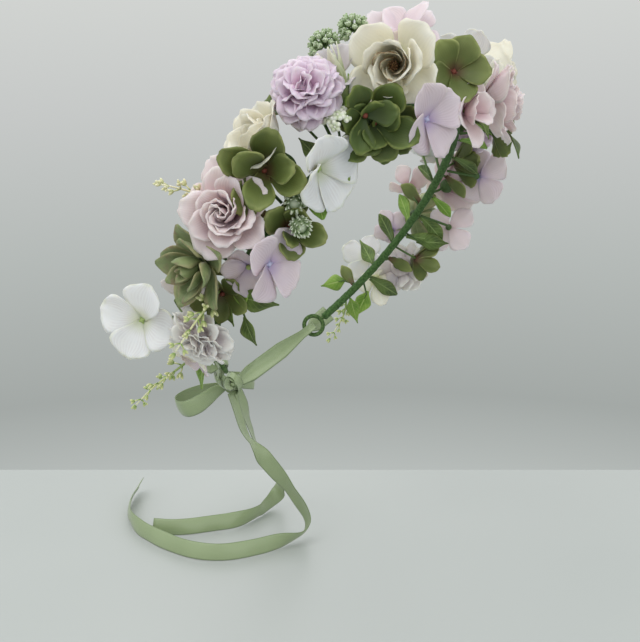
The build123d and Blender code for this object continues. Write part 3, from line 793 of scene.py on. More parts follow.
# which way the ribbon's width lies, at shares of its length: across the neck, then upright on the table
TAIL_SIDES = {
    "ribbon_tail_long": [(0, (1, 0, 0.1)), (0.05, (0.9, 0.3, 0.2)), (0.11, (0.8, 0.6, 0.1)),
                         (0.17, (0.6, -0.6, 0.1)), (0.25, (0.2, -1, -0.2)),
                         (0.36, (-0.5, -0.6, 0.6)), (0.46, (0.2, 0.3, 1)),
                         (0.6, (0.45, 0.25, 1)), (0.72, (0.5, -0.1, 1)), (0.85, (-0.15, -0.3, 1)),
                         (1, (0.3, -0.5, 1))],
    "ribbon_tail_short": [(0, (1, 0, 0)), (0.15, (0.9, 0.5, 0.2)), (0.35, (0.3, 1, 0.1)),
                          (0.5, (0.1, 0.5, 0.8)), (0.62, (-0.3, -0.3, 1)), (0.75, (0.3, 0.4, 1)),
                          (0.9, (0.1, 0.5, 0.9)), (1, (0.0, 0.6, 0.7))],
}


def make_tails():
    for name, rows in TAILS.items():
        points = [Vector(row) * MM for row in rows]
        path = route(points)
        rng = random.Random(name)
        shape = Shape(name + "_satin", [MATERIALS["ribbon"]])
        widths = [(0, 0.82 * RIBBON_WIDTH), (0.06, RIBBON_WIDTH), (1, RIBBON_WIDTH)]
        grid = strip_grid(path, TAIL_SIDES[name], widths, 0.07, 11, 0.03, rng)
        shape.shell(grid, 0.35 * MM, 0.5)
        piece = shape.build("crown", "ribbon", name)


make_tails()


# ---------------------------------------------------------------- roses
# Whorls from the outside in. bends are (share, degrees away from the flower's middle).
ROSE_CREAM = [
    dict(count=4, open=78, length=26, width=28, outline="broad", wrap=(14, 24), roll=0.06, ruffle=0.03,
         bends=[(0, 0), (0.3, -18), (0.62, -40), (0.84, -26), (1, 26)], twist=8, spread=0.12, size=(13, 15)),
    dict(count=3, turn=52, open=60, length=25.5, width=27, outline="broad", wrap=(10, 17), roll=0.07,
         ruffle=0.03, bends=[(0, 0), (0.35, -26), (0.7, -46), (0.87, -30), (1, 22)], twist=9, rise=1,
         spread=0.12, size=(13, 15)),
    dict(count=3, turn=10, open=50, length=22.5, width=22, outline="broad", wrap=(8, 11.5), roll=0.06,
         ruffle=0.03, bends=[(0, 0), (0.4, -30), (0.75, -50), (0.9, -36), (1, 10)], twist=11, rise=2,
         spread=0.12, size=(13, 15)),
    dict(count=3, turn=60, open=46, length=16.5, width=17, outline="round", wrap=(6, 8), roll=0.05,
         ruffle=0.03, bends=[(0, 0), (0.4, -26), (0.75, -50), (1, -14)], twist=12, rise=3, size=(11, 13),
         base=2.0),
    dict(count=4, turn=110, open=40, length=12.5, width=11, outline="round", wrap=(4.6, 5.4), roll=0.03,
         ruffle=0.03, bends=[(0, 0), (0.5, -34), (1, -24)], twist=14, rise=4, size=(9, 11), base=2.2),
]
ROSE_MAUVE = [
    dict(count=5, open=82, length=24, width=24, outline="broad", wrap=(12, 22), roll=0.08, ruffle=0.05,
         bends=[(0, 0), (0.3, -18), (0.62, -34), (0.84, -14), (1, 36)], twist=9, spread=0.14, size=(11, 13)),
    dict(count=5, turn=34, open=68, length=23, width=21, outline="broad", wrap=(9, 15), roll=0.08,
         ruffle=0.05, bends=[(0, 0), (0.35, -26), (0.7, -42), (0.87, -18), (1, 34)], twist=10, rise=1,
         spread=0.12, size=(11, 13)),
    dict(count=4, turn=12, open=54, length=21, width=19, outline="broad", wrap=(7, 11), roll=0.08,
         ruffle=0.05, bends=[(0, 0), (0.4, -30), (0.75, -46), (0.9, -22), (1, 28)], twist=12, rise=2,
         spread=0.12, size=(11, 13)),
    dict(count=4, turn=50, open=40, length=19.5, width=16, outline="round", wrap=(5.5, 8), roll=0.06,
         ruffle=0.05, bends=[(0, 0), (0.4, -24), (0.75, -42), (0.9, -22), (1, 22)], twist=14, rise=3,
         size=(11, 11)),
    dict(count=3, turn=20, open=28, length=18.5, width=14, outline="round", wrap=(3.8, 5), roll=0.05,
         ruffle=0.05, bends=[(0, 0), (0.4, -18), (0.75, -32), (1, 8)], twist=16, rise=3, size=(11, 11),
         base=1.0),
    dict(count=3, turn=70, open=14, length=17.5, width=10, outline="round", wrap=(2.2, 3.0), roll=0.04,
         ruffle=0.04, bends=[(0, 0), (0.5, -14), (1, -4)], twist=20, rise=3, size=(11, 11), base=0.6),
]


def head_frame(node):
    """Seat, axis and a start direction of a head, from the joint that it turns on."""
    joint = joint_of(node)
    axis = Vector(joint["axis"]).normalized()
    return Vector(joint["pos_m"]), axis, axis.orthogonal().normalized()


def heart_stamens(shape, centre, axis, start, rng, reach, height, slot):
    """A hollow heart: a dark cup with a ring of short stamens."""
    shape.blob(centre + axis * height * 0.5, axis, reach * 0.8, height, 14, 8, 0.2, slot)
    for k in range(22):
        radial = around(axis, start, k * GOLDEN_ANGLE)
        spread = reach * math.sqrt((k + 0.5) / 22)
        foot = centre + axis * (height * 0.7) + radial * spread * 0.5
        tip = centre + axis * (height * rng.uniform(1.15, 1.35)) + radial * spread
        shape.tube([foot, foot.lerp(tip, 0.5) + radial * 0.1 * MM, tip],
                   [0.16 * MM, 0.13 * MM, 0.10 * MM], 5, rng.random(), slot)
        shape.blob(tip, (tip - foot), 0.34 * MM, 0.9 * MM, 6, 4, rng.random(), slot)


def make_rose(node, whorls, material, heart, scale, seed, stamens=0.0):
    rng = random.Random(seed)
    centre, axis, start = head_frame(node)
    shape = Shape(node + "_petals", [MATERIALS[material], MATERIALS[heart], MATERIALS["brown"]])
    for k, spec in enumerate(whorls):
        inner = k >= len(whorls) - 2
        whorl(shape, centre, axis, start, spec, rng, PETAL_SHEET, 1 if inner else 0, scale)
    if stamens:
        heart_stamens(shape, centre + axis * 2 * MM, axis, start, rng, stamens * MM * scale,
                      9 * MM * scale, 2)
    else:
        shape.blob(centre + axis * 8.5 * MM * scale, axis, 1.5 * MM * scale, 13 * MM * scale, 10, 8, 0.4, 1)
    shape.build(body_of(node), "petal_" + material, node)


# ---------------------------------------------------------------- pompoms
REACH_BACK = math.radians(104)  # how far from its axis the petals of a pompom go round


def make_pompom(node, material, radius, depth, count, petal, seed, ruffle=0.10, outline="round", curl=46):
    """A ball of small petals whose tips lie back over one another."""
    rng = random.Random(seed)
    centre, axis, start = head_frame(node)
    core = centre + axis * depth * 0.36 * MM
    shape = Shape(node + "_petals", [MATERIALS[material], MATERIALS["green_heart"]])
    shape.blob(core, axis, radius * 0.42 * MM, depth * 0.9 * MM, 14, 8, 0.1, 0)
    for k in range(count):
        share = (k + 0.5) / count
        polar = math.acos(1 - share * (1 - math.cos(REACH_BACK)))
        out, radial = on_spiral(axis, start, k * GOLDEN_ANGLE + rng.uniform(-0.15, 0.15), polar)
        inward = axis * math.sin(polar) - radial * math.cos(polar)
        roll = rng.uniform(-0.8, 0.8)
        across, inward = turned(out.cross(inward), inward, roll)
        # shorter along the axis than across it where the head is flat
        flatter = radius * math.cos(polar) / (0.66 * depth)
        reach = radius * MM / math.sqrt(math.sin(polar) ** 2 + flatter ** 2)
        if polar > math.pi / 2:
            reach *= 1 - 0.25 * (polar - math.pi / 2)
        base_at = reach * 0.22
        length = (reach - base_at) * rng.uniform(1.02, 1.26)
        width = petal * MM * rng.uniform(0.85, 1.15) * (0.72 + 0.28 * min(1, share * 3))
        bend = math.radians(curl) * rng.uniform(0.6, 1.2)
        bends = [(0, math.radians(-8)), (0.55, 0), (0.8, bend * 0.45), (1, bend)]
        grid = petal_grid(core + out * base_at, across, out, inward, length, width, OUTLINES[outline], bends,
                          (width * 0.45, width * 0.75), rng, 0.10, ruffle, 0, (9, 10), 1.6)
        shape.shell(grid, 0.20 * MM, rng.random())
    shape.build(body_of(node), "petal_" + material, node)


# ---------------------------------------------------------------- succulents
SUCCULENT = [
    dict(count=5, open=80, length=18, width=11.5, wrap=(8, 10),
         bends=[(0, 0), (0.5, -26), (0.85, -34), (1, 4)]),
    dict(count=4, turn=34, open=60, length=16.5, width=10.5, rise=1.4, wrap=(7, 8),
         bends=[(0, 0), (0.5, -24), (0.85, -34), (1, 0)]),
    dict(count=3, turn=8, open=42, length=14, width=9, rise=2.6, wrap=(6, 6),
         bends=[(0, 0), (0.5, -20), (0.85, -34), (1, -6)]),
    dict(count=3, turn=64, open=20, length=11, width=6, rise=4, wrap=(3.4, 3.8), base=0.8,
         bends=[(0, 0), (0.5, -16), (1, -14)]),
]


def thick_whorl(shape, centre, axis, start, spec, rng, thick, scale):
    """Fleshy leaves: plump in the middle and thin at the edges."""
    for k in range(spec["count"]):
        turn = 2 * math.pi * (k + rng.uniform(-0.06, 0.06)) / spec["count"]
        turn += math.radians(spec.get("turn", 0))
        radial = around(axis, start, turn)
        opening = math.radians(spec["open"]) + rng.uniform(-0.1, 0.1)
        along = axis * math.cos(opening) + radial * math.sin(opening)
        inward = axis * math.sin(opening) - radial * math.cos(opening)
        bends = [(v, math.radians(a) + rng.uniform(-0.1, 0.1) * v) for v, a in spec["bends"]]
        unit = MM * scale
        grid = petal_grid(centre + radial * spec.get("base", 1.4) * unit + axis * spec.get("rise", 0) * unit,
                          along.cross(inward), along, inward, spec["length"] * unit * rng.uniform(0.92, 1.08),
                          spec["width"] * unit * rng.uniform(0.92, 1.08), OUTLINES["spoon"], bends,
                          [w * unit for w in spec["wrap"]], rng, 0, 0.0, 0.10, (9, 13))
        v, u = np.meshgrid(np.linspace(0, 1, 13), np.linspace(-1, 1, 9), indexing="ij")
        body = thick * unit * (0.28 + 0.72 * (1 - np.abs(u) ** 2.2)) * (1 - 0.75 * v ** 5)
        body = body * (0.5 + 0.5 * smooth(v * 3))
        shape.shell(grid, body[..., None], rng.random())


def make_succulent(node, scale, seed):
    rng = random.Random(seed)
    centre, axis, start = head_frame(node)
    shape = Shape(node + "_leaves", [MATERIALS["succulent"]])
    for spec in SUCCULENT:
        thick_whorl(shape, centre, axis, start, spec, rng, 1.9, scale)
    shape.blob(centre + axis * 6 * MM, axis, 1.6 * MM, 9 * MM, 10, 8, 0.5, 0, 1.4)
    shape.build(body_of(node), "succulent", node)


# ---------------------------------------------------------------- hydrangea florets
def floret_frame(node):
    """Hub, axis, and the way to one petal's tip, with how far and how high the tips are."""
    centre, axis = flat_seat(node)
    points = islands(node)[0][0]
    best, reach, start, rise = -1.0, 0.0, None, 0.0
    for p in points:
        rel = Vector(p) - centre
        high = rel.dot(axis)
        flat = rel - axis * high
        if flat.length > best:
            best, start, reach, rise = flat.length, flat.normalized(), flat.length, high
    return centre, axis, start, reach, rise


FLORET_STRETCH = 1.25           # how far the cloth reaches past the CAD layer
FLORET_DROOP = 8                # degrees that a petal's end falls


def make_floret(node, material, heart, petals, width, seed):
    """One open floret: overlapping petals with a small bead at the heart."""
    rng = random.Random(seed)
    centre, axis, start, reach, rise = floret_frame(node)
    shape = Shape(node + "_petals", [MATERIALS[material], MATERIALS[heart], MATERIALS[material]])
    tilt = math.degrees(math.atan2(rise, reach))
    spec = dict(count=petals, open=88 - tilt, length=reach / MM * FLORET_STRETCH, width=width,
                outline="floret", wrap=(9, 16), roll=0.04, ruffle=0.04, base=0.3, rise=0.3, twist=7,
                spread=0.05, size=(11, 13),
                bends=[(0, -14), (0.4, -6), (0.8, FLORET_DROOP * 0.6), (1, FLORET_DROOP * 2.4)])
    whorl(shape, centre, axis, start, spec, rng)
    hub = centre + axis * 0.9 * MM
    shape.blob(hub, axis, 1.15 * MM, 1.9 * MM, 10, 6, 0.6, 1)
    for k in range(4):
        radial = around(axis, start, math.radians(45 + 90 * k))
        bead = hub + radial * 1.1 * MM - axis * 0.1 * MM
        shape.blob(bead, radial + axis * 0.5, 0.55 * MM, 1.6 * MM, 8, 5, 0.4, 1)
    shape.build(body_of(node), PETAL_SLOTS[material], node)


# ---------------------------------------------------------------- leaves and loose petals
LEAF_SHEET = 0.35               # in mm


def blade(shape, base, tip, width, normal, rng, slot=0, outline="leaf", fold=0.16, bend=10):
    """One leaf between two points, its upper side towards normal."""
    way = (tip - base).normalized()
    up = (normal - way * normal.dot(way)).normalized()
    half = math.radians(bend)
    start = (way * math.cos(half) + up * math.sin(half)).normalized()
    inward = (up * math.cos(half) - way * math.sin(half)).normalized()
    length = (tip - base).length / math.cos(half * 0.6)
    grid = petal_grid(base, start.cross(inward), start, inward, length, width, OUTLINES[outline],
                      [(0, 0), (0.5, half), (1, 2.1 * half)], (width * 2, width * 3), rng, 0.0, 0.02,
                      fold, (7, 13))
    shape.shell(grid, LEAF_SHEET * MM, rng.random(), slot)


# foot station; base and tip as station, forward and height on the band; width; material
LEAVES = {
    "leaves_front": [
        (56, (57, 3, 9), (47, -15, 22), 6, 1), (-22, (-20, 30, 8), (-16, 44, 3), 9, 0),
        (2, (3, 18, 10), (6, 34, 6), 8, 0),
    ],
    "leaves_right": [
        (132, (135, 10, 7), (125, 27, 4), 9, 0), (138, (142, 16, 4), (148, 28, 3), 8, 0),
        (186, (187, 6, 8), (196, 14, 14), 9, 1), (176, (176, -6, 10), (184, -16, 22), 9, 1),
    ],
    "leaves_left": [
        (-66, (-68, -20, 10), (-60, -34, 20), 8, 1), (-136, (-138, 8, 8), (-126, 24, 6), 9, 0),
        (-174, (-176, 6, 10), (-190, 12, 14), 9, 1), (-178, (-180, -8, 8), (-192, -16, 14), 9, 1),
    ],
}


def clear_foot(station, towards):
    """A point on the tape's surface, on the side that a stem leaves from."""
    point, along, ahead, out = band(station * MM)
    away = towards - point
    away = (away - along * away.dot(along)).normalized()
    return point + away * TAPE_RADIUS * 1.05


def make_leaves():
    for name, rows in LEAVES.items():
        rng = random.Random(name)
        shape = Shape(name + "_blades", [MATERIALS["leaf"], MATERIALS["leaf_bright"], MATERIALS["stem"]])
        for foot_station, base, tip, width, bright in rows:
            low, high = on_band(*base), on_band(*tip)
            foot = clear_foot(foot_station, low)
            out = band(foot_station * MM)[3]
            blade(shape, low, high, width * 1.12 * MM, out, rng, bright)
            near = low.lerp(high, 0.12)
            shape.tube([foot, foot.lerp(near, 0.5) + out * 0.4 * MM, near, low.lerp(high, 0.3)],
                       [0.6 * MM, 0.55 * MM, 0.45 * MM, 0.2 * MM], 7, 0.5, 2)
        shape.build("crown", "leaf", name)


# ---------------------------------------------------------------- sprigs, pods and small flowers
SPRIGS = {
    "sprig_cream_right": (112, [(112, -22, 8), (113, -31, 21), (114, -34, 34)], 0.40, 5, "sprig_cream"),
    "sprig_hanging_right": (140, [(139, 2, 12), (137, 9, 22), (141, 13, 31), (152, 15, 36)], 0.42, 6,
                            "sprig_green"),
    "sprig_nape_right": (187, [(187, 1, 11), (189, 3, 24), (194, 3, 36), (202, 4, 46)], 0.34, 6,
                         "sprig_green"),
    "sprig_nape_left": (-188, [(-188, 1, 11), (-190, 4, 23), (-195, 8, 34), (-202, 12, 40)], 0.34, 6,
                        "sprig_green"),
}


def make_sprig(name, foot_station, rows, first, pairs, material):
    """A moulded sprig: a tapering stem with forked buds in crossed pairs, each opening at its tip."""
    rng = random.Random(name)
    points = [on_band(*row) for row in rows]
    line = route([clear_foot(foot_station, points[0])] + points)
    shape = Shape(name + "_moulded", [MATERIALS[material]])
    last = len(line) - 1
    shape.tube(line, [(0.75 - 0.4 * k / last) * MM for k in range(last + 1)], 8, 0.3)
    for k in range(pairs):
        share = first + (1 - first) * k / (pairs - 0.4)
        spot = share * last
        here = line[int(spot)].lerp(line[min(int(spot) + 1, last)], spot - int(spot))
        way = (line[min(int(spot) + 1, last)] - line[max(int(spot) - 1, 0)]).normalized()
        size = 1.0 - 0.35 * k / pairs
        for side in (0, 1):
            radial = around(way, way.orthogonal(), math.pi * side + k * math.pi / 2 + rng.uniform(-0.4, 0.4))
            lean = (radial + way * rng.uniform(0.7, 1.1)).normalized()
            end = here + lean * rng.uniform(3.2, 4.6) * size * MM
            shape.tube([here, here.lerp(end, 0.5) + radial * 0.3 * MM, end],
                       [0.42 * MM, 0.36 * MM, 0.42 * MM], 6, rng.random())
            for j in range(3):
                fork = around(lean, lean.orthogonal(), j * 2.1 + k)
                point = (lean + fork * 0.55).normalized()
                shape.blob(end + point * 1.5 * size * MM, point, 0.85 * size * MM, 3.9 * size * MM, 8, 7,
                           0.4 + 0.6 * rng.random(), 0, 1.25)
    tip_way = (line[-1] - line[-3]).normalized()
    for j in range(3):
        fork = around(tip_way, tip_way.orthogonal(), j * 2.1)
        bud = line[-1] + (tip_way * 1.2 + fork * 0.5) * MM
        shape.blob(bud, tip_way + fork * 0.4, 0.75 * MM, 3.6 * MM, 8, 7, 0.9, 0, 1.3)
    shape.build(body_of(name), material, name)


def stalk_to(shape, foot_station, centre, height, slot):
    """A thin stalk from the tape to the underside of a small head, and the way that it points."""
    foot = clear_foot(foot_station, centre)
    way = (centre - foot).normalized()
    low = centre - way * height * MM / 2
    bow = way.orthogonal() * 0.3 * MM
    shape.tube([foot, foot.lerp(low, 0.5) + bow, low, low + way * 0.5 * MM], 0.55 * MM, 8, 0.5, slot)
    return way, low


def make_pods(rng):
    """Two pods, each ringed with six tiers of short fringe."""
    shape = Shape("pods_right_fringed", [MATERIALS["pod"], MATERIALS["stem"]])
    for foot_station, spot in ((88, (90, 8, 14)), (96, (95, 15, 11))):
        centre = on_band(*spot)
        way, low = stalk_to(shape, foot_station, centre, 6, 1)
        start = way.orthogonal().normalized()
        shape.blob(centre, way, 3.3 * MM, 6.4 * MM, 14, 9, 0.3, 0)
        for ring in range(6):
            girth = 3.1 * math.sin(math.radians(30 + 13 * ring)) * 0.8
            spec = dict(count=13 - ring, turn=ring * 13, open=96 - ring * 17, length=3.0 + 0.25 * ring,
                        width=1.35, outline="strap", wrap=(2, 2), base=girth, rise=0.6 + ring * 0.95,
                        twist=0, size=(3, 5), bends=[(0, 0), (0.6, -26), (1, 20)])
            whorl(shape, low, way, start, spec, rng, 0.35, 0)
    shape.build("crown", "pod", "pods_right")


def make_umbels(rng):
    """Domes of beads on fine spokes."""
    shape = Shape("umbels_front_beads", [MATERIALS["pod"], MATERIALS["stem"]])
    for foot_station, spot in ((30, (33, -33, 24)), (47, (43, -36, 20))):
        centre = on_band(*spot)
        way, low = stalk_to(shape, foot_station, centre, 5, 1)
        start = way.orthogonal().normalized()
        for k in range(30):
            polar = math.acos(1 - (k + 0.5) / 30 * 1.25)
            out, radial = on_spiral(way, start, k * GOLDEN_ANGLE, polar)
            reach = 5.8 * MM * rng.uniform(0.85, 1.12)
            tip = low + out * reach
            shape.tube([low, low + out * reach * 0.5 + way * 0.3 * MM, tip], 0.22 * MM, 5, 0.2, 1)
            shape.blob(tip, out, 1.25 * MM, 2.3 * MM, 8, 6, rng.random(), 0)
            for j in range(3):
                fork = around(out, out.orthogonal(), j * 2.1 + k)
                grain = tip + out * 0.8 * MM + fork * 0.6 * MM
                shape.blob(grain, out + fork, 0.5 * MM, 1.5 * MM, 6, 4, 0.9, 0)
    shape.build("crown", "pod", "umbels_front")


def make_small_white(rng):
    """A tight cluster of little white flowers, each a ring of five knobs."""
    shape = Shape("flower_small_white_knobs", [MATERIALS["knob_white"], MATERIALS["stem"]])
    way, low = stalk_to(shape, 62, on_band(61, -2, 20), 5, 1)
    start = way.orthogonal().normalized()
    for k in range(8):
        polar = math.acos(1 - (k + 0.3) / 8 * 0.75)
        out, radial = on_spiral(way, start, k * GOLDEN_ANGLE, polar)
        tip = low + out * 4.6 * MM * rng.uniform(0.9, 1.15) + way * 2.2 * MM
        shape.tube([low, low.lerp(tip, 0.5) + way * 0.3 * MM, tip], 0.4 * MM, 6, 0.2, 1)
        for j in range(5):
            fork = around(out, out.orthogonal(), j * 2 * math.pi / 5 + k)
            shape.blob(tip + fork * 1.35 * MM + out * 0.5 * MM, fork + out * 0.5, 1.15 * MM, 2.7 * MM, 8, 6,
                       0.6 + 0.4 * rng.random(), 0)
        shape.blob(tip + out * 0.7 * MM, out, 0.8 * MM, 1.8 * MM, 7, 5, 0.1, 0)
    shape.build("crown", "sprig_cream", "flower_small_white")


def make_bud(rng):
    """A bud of pointed petals wrapped round one another."""
    shape = Shape("bud_pointed_green_wrapped", [MATERIALS["bud"], MATERIALS["stem"]])
    way, low = stalk_to(shape, 53, on_band(52, -13, 19), 15, 1)
    start = way.orthogonal().normalized()
    for ring, (count, length, width) in enumerate(((4, 24, 9.5), (3, 24.5, 7.5))):
        spec = dict(count=count, turn=40 * ring, open=34 - 12 * ring, length=length, width=width,
                    outline="pointed", wrap=(3.0, 3.4), base=0.8, twist=14, size=(7, 13),
                    bends=[(0, 0), (0.35, -30 + 10 * ring), (0.8, -40 + 14 * ring), (1, -28)])
        whorl(shape, low, way, start, spec, rng, 0.35, 0)
    shape.build("crown", "petal_white", "bud_pointed_green")


# ---------------------------------------------------------------- taped wire
def make_tape():
    """The paper tape wound round the wire: each turn laps the last, so its edge stands up a little."""
    shape = Shape("floral_tape_wound", [MATERIALS["tape"]])
    rows, cols, pitch = 560, 16, 6.5 * MM
    points, tones, uvs = [], [], []
    seed = Vector((3.1, 7.7, 1.3))
    for i in range(rows + 1):
        station = -HALF_LENGTH + 2 * HALF_LENGTH * i / rows
        point, along, ahead, out = band(station)
        for j in range(cols):
            turn = 2 * math.pi * j / cols
            lap = (station / pitch + j / cols) % 1.0
            lump = noise.noise(Vector((station * 400, math.cos(turn), math.sin(turn))) + seed)
            radius = TAPE_RADIUS * (0.94 + 0.10 * lap + 0.05 * lump)
            if i in (0, rows):
                radius *= 0.55
            points.append(point + (ahead * math.cos(turn) + out * math.sin(turn)) * radius)
            tones.append((lap, 0.5, 0.5, 1))
            uvs.append((j / cols, i / rows))
    faces = []
    for i in range(rows):
        for j in range(cols):
            n = (j + 1) % cols
            faces.append((i * cols + j, i * cols + n, (i + 1) * cols + n, (i + 1) * cols + j))
    faces.append(tuple(reversed(range(cols))))
    faces.append(tuple(range(rows * cols, (rows + 1) * cols)))
    shape.add(np.array([p[:] for p in points]), faces, np.array(tones), np.array(uvs))
    shape.build("crown", "floral_tape", "floral_tape")


# ---------------------------------------------------------------- the ribbon's tie
KNOT = Vector((0, 70, -88)) * MM
EYE_RADIUS = 5.6 * MM
EYE_NECK = 2.0 * MM


def eye_frame(side):
    point, along, ahead, out = band(side * HALF_LENGTH)
    return point + along * side * (EYE_NECK + EYE_RADIUS), along * side, ahead, out


def add_strip(shape, points, sides, widths, rng, cup=0.05, ripple=0.01, thick=0.35, cols=9):
    path = route([Vector(p) for p in points])
    shape.shell(strip_grid(path, sides, widths, cup, cols, ripple, rng), thick * MM, rng.random())


def make_strands():
    """Ribbon gathered through each end loop, doubled back on itself, and drawn to the knot."""
    for side, word in ((1, "right"), (-1, "left")):
        rng = random.Random(word)
        centre, away, ahead, out = eye_frame(side)
        shape = Shape(f"ribbon_strand_{word}_satin", [MATERIALS["ribbon"]])
        wall = centre + away * EYE_RADIUS
        finish = KNOT + Vector((-side * 3.6 * MM, -1.5 * MM, 0.4 * MM))
        chord = (finish - wall).normalized()
        broad = chord.cross(out).normalized()
        bulge = (out - chord * out.dot(chord)).normalized()
        middle = wall.lerp(finish, 0.5) + bulge * 6 * MM
        for layer in (1, -1):
            lift = bulge * (0.9 * layer * MM)
            points = [centre - away * 0.4 * MM + out * 0.2 * MM * layer,
                      centre + away * 2.2 * MM + out * 2.6 * layer * MM,
                      wall + out * 2.4 * layer * MM, wall.lerp(middle, 0.5) + lift + bulge * 1.4 * MM,
                      middle + lift * 0.7, middle.lerp(finish, 0.6) + lift * 0.5 + bulge * 1.2 * MM, finish]
            sides = [(0, ahead), (0.25, ahead), (0.5, broad), (1, broad + bulge * 0.2 * layer)]
            widths = [(0, 4.4 * MM), (0.18, 4.8 * MM), (0.45, 9.6 * MM), (0.85, 9.6 * MM), (1, 5.5 * MM)]
            add_strip(shape, points, sides, widths, rng, 0.16, 0.02)
        # the short cut end that stands off beside the loop
        tab = centre + away * 1.5 * MM + out * 3 * MM
        add_strip(shape, [tab, tab + out * 3 * MM - away * 2 * MM, tab + out * 5 * MM - away * 9 * MM,
                          tab + out * 5.5 * MM - away * 16 * MM],
                  [(0, ahead), (1, ahead + away * 0.2)], [(0, 5 * MM), (0.4, 9.5 * MM), (1, 10 * MM)],
                  rng, 0.10)
        shape.build("crown", "ribbon", f"ribbon_strand_{word}")


def make_knot():
    """Two ribbons pulled over one another: a broad wrap, a slanting one, and the gathers between."""
    rng = random.Random(9)
    shape = Shape("ribbon_knot_satin", [MATERIALS["ribbon"]])
    for lean, wide, tall, deep, shift in ((0.10, 8.6, 4.2, 3.7, 0.0), (-0.55, 6.4, 4.9, 4.3, 0.6)):
        ring = []
        for k in range(15):
            turn = 2 * math.pi * k / 14 + 0.4
            up, back = math.cos(turn) * tall * MM, math.sin(turn) * deep * MM
            ring.append(KNOT + Vector((lean * up + shift * MM, back, up)))
        sides = [(0, (1, 0, -lean)), (1, (1, 0, -lean))]
        widths = [(0, wide * MM), (0.25, wide * 0.8 * MM), (0.5, wide * 1.05 * MM),
                  (0.75, wide * 0.82 * MM), (1, wide * MM)]
        shape.shell(strip_grid(route(ring), sides, widths, -0.10, 11, 0.03, rng), 0.35 * MM, 0.5)
    for k in range(5):
        y = (-2 + k) * 1.2 * MM
        spot = KNOT + Vector((0, y, (-1) ** k * 0.6 * MM))
        half = Vector((4.6 * MM, 0, 0))
        shape.tube([spot - half, spot + Vector((0, 0, 0.5 * MM)), spot + half],
                   [1.3 * MM, 1.7 * MM, 1.3 * MM], 8, 0.4)
    shape.build("crown", "ribbon", "ribbon_knot")


def make_bows():
    """Each loop of the bow goes out from the knot, round, and back, wider where it is free."""
    for side, word in ((1, "right"), (-1, "left")):
        rng = random.Random("bow" + word)
        start = KNOT + Vector((-side * 4.0, 3.2, -1)) * MM
        way = Vector((-side, 0.5, -0.25)).normalized()
        up = (Vector((0, 0, 1)) - way * way.z).normalized()
        across = way.cross(up)
        shape = Shape(f"bow_loop_{word}_satin", [MATERIALS["ribbon"]])
        rows = [(0, -0.6, 0), (6, -3.2, 0.3), (13, -6.6, 0.2), (20, -8.6, -0.6), (27, -7.2, -1.4),
                (29.4, 0, -1.8), (27.4, 7.0, -1.6), (20, 8.4, -1.0), (13, 6.2, -0.4), (6, 3.0, 0),
                (0, 0.7, 0)]
        points = [start + (way * a + across * b + up * c) * MM for a, b, c in rows]
        sides = [(0, up), (0.3, up + across * 0.1), (0.5, up + way * 0.12),
                 (0.75, up - across * 0.1), (1, up)]
        widths = [(0, 5.0 * MM), (0.16, 9.0 * MM), (0.3, 10 * MM),
                  (0.7, 10 * MM), (0.84, 9 * MM), (1, 5 * MM)]
        add_strip(shape, points, sides, widths, rng, 0.06, 0.015)
        shape.build(f"bow_loop_{word}_ribbon", "ribbon", f"bow_loop_{word}")


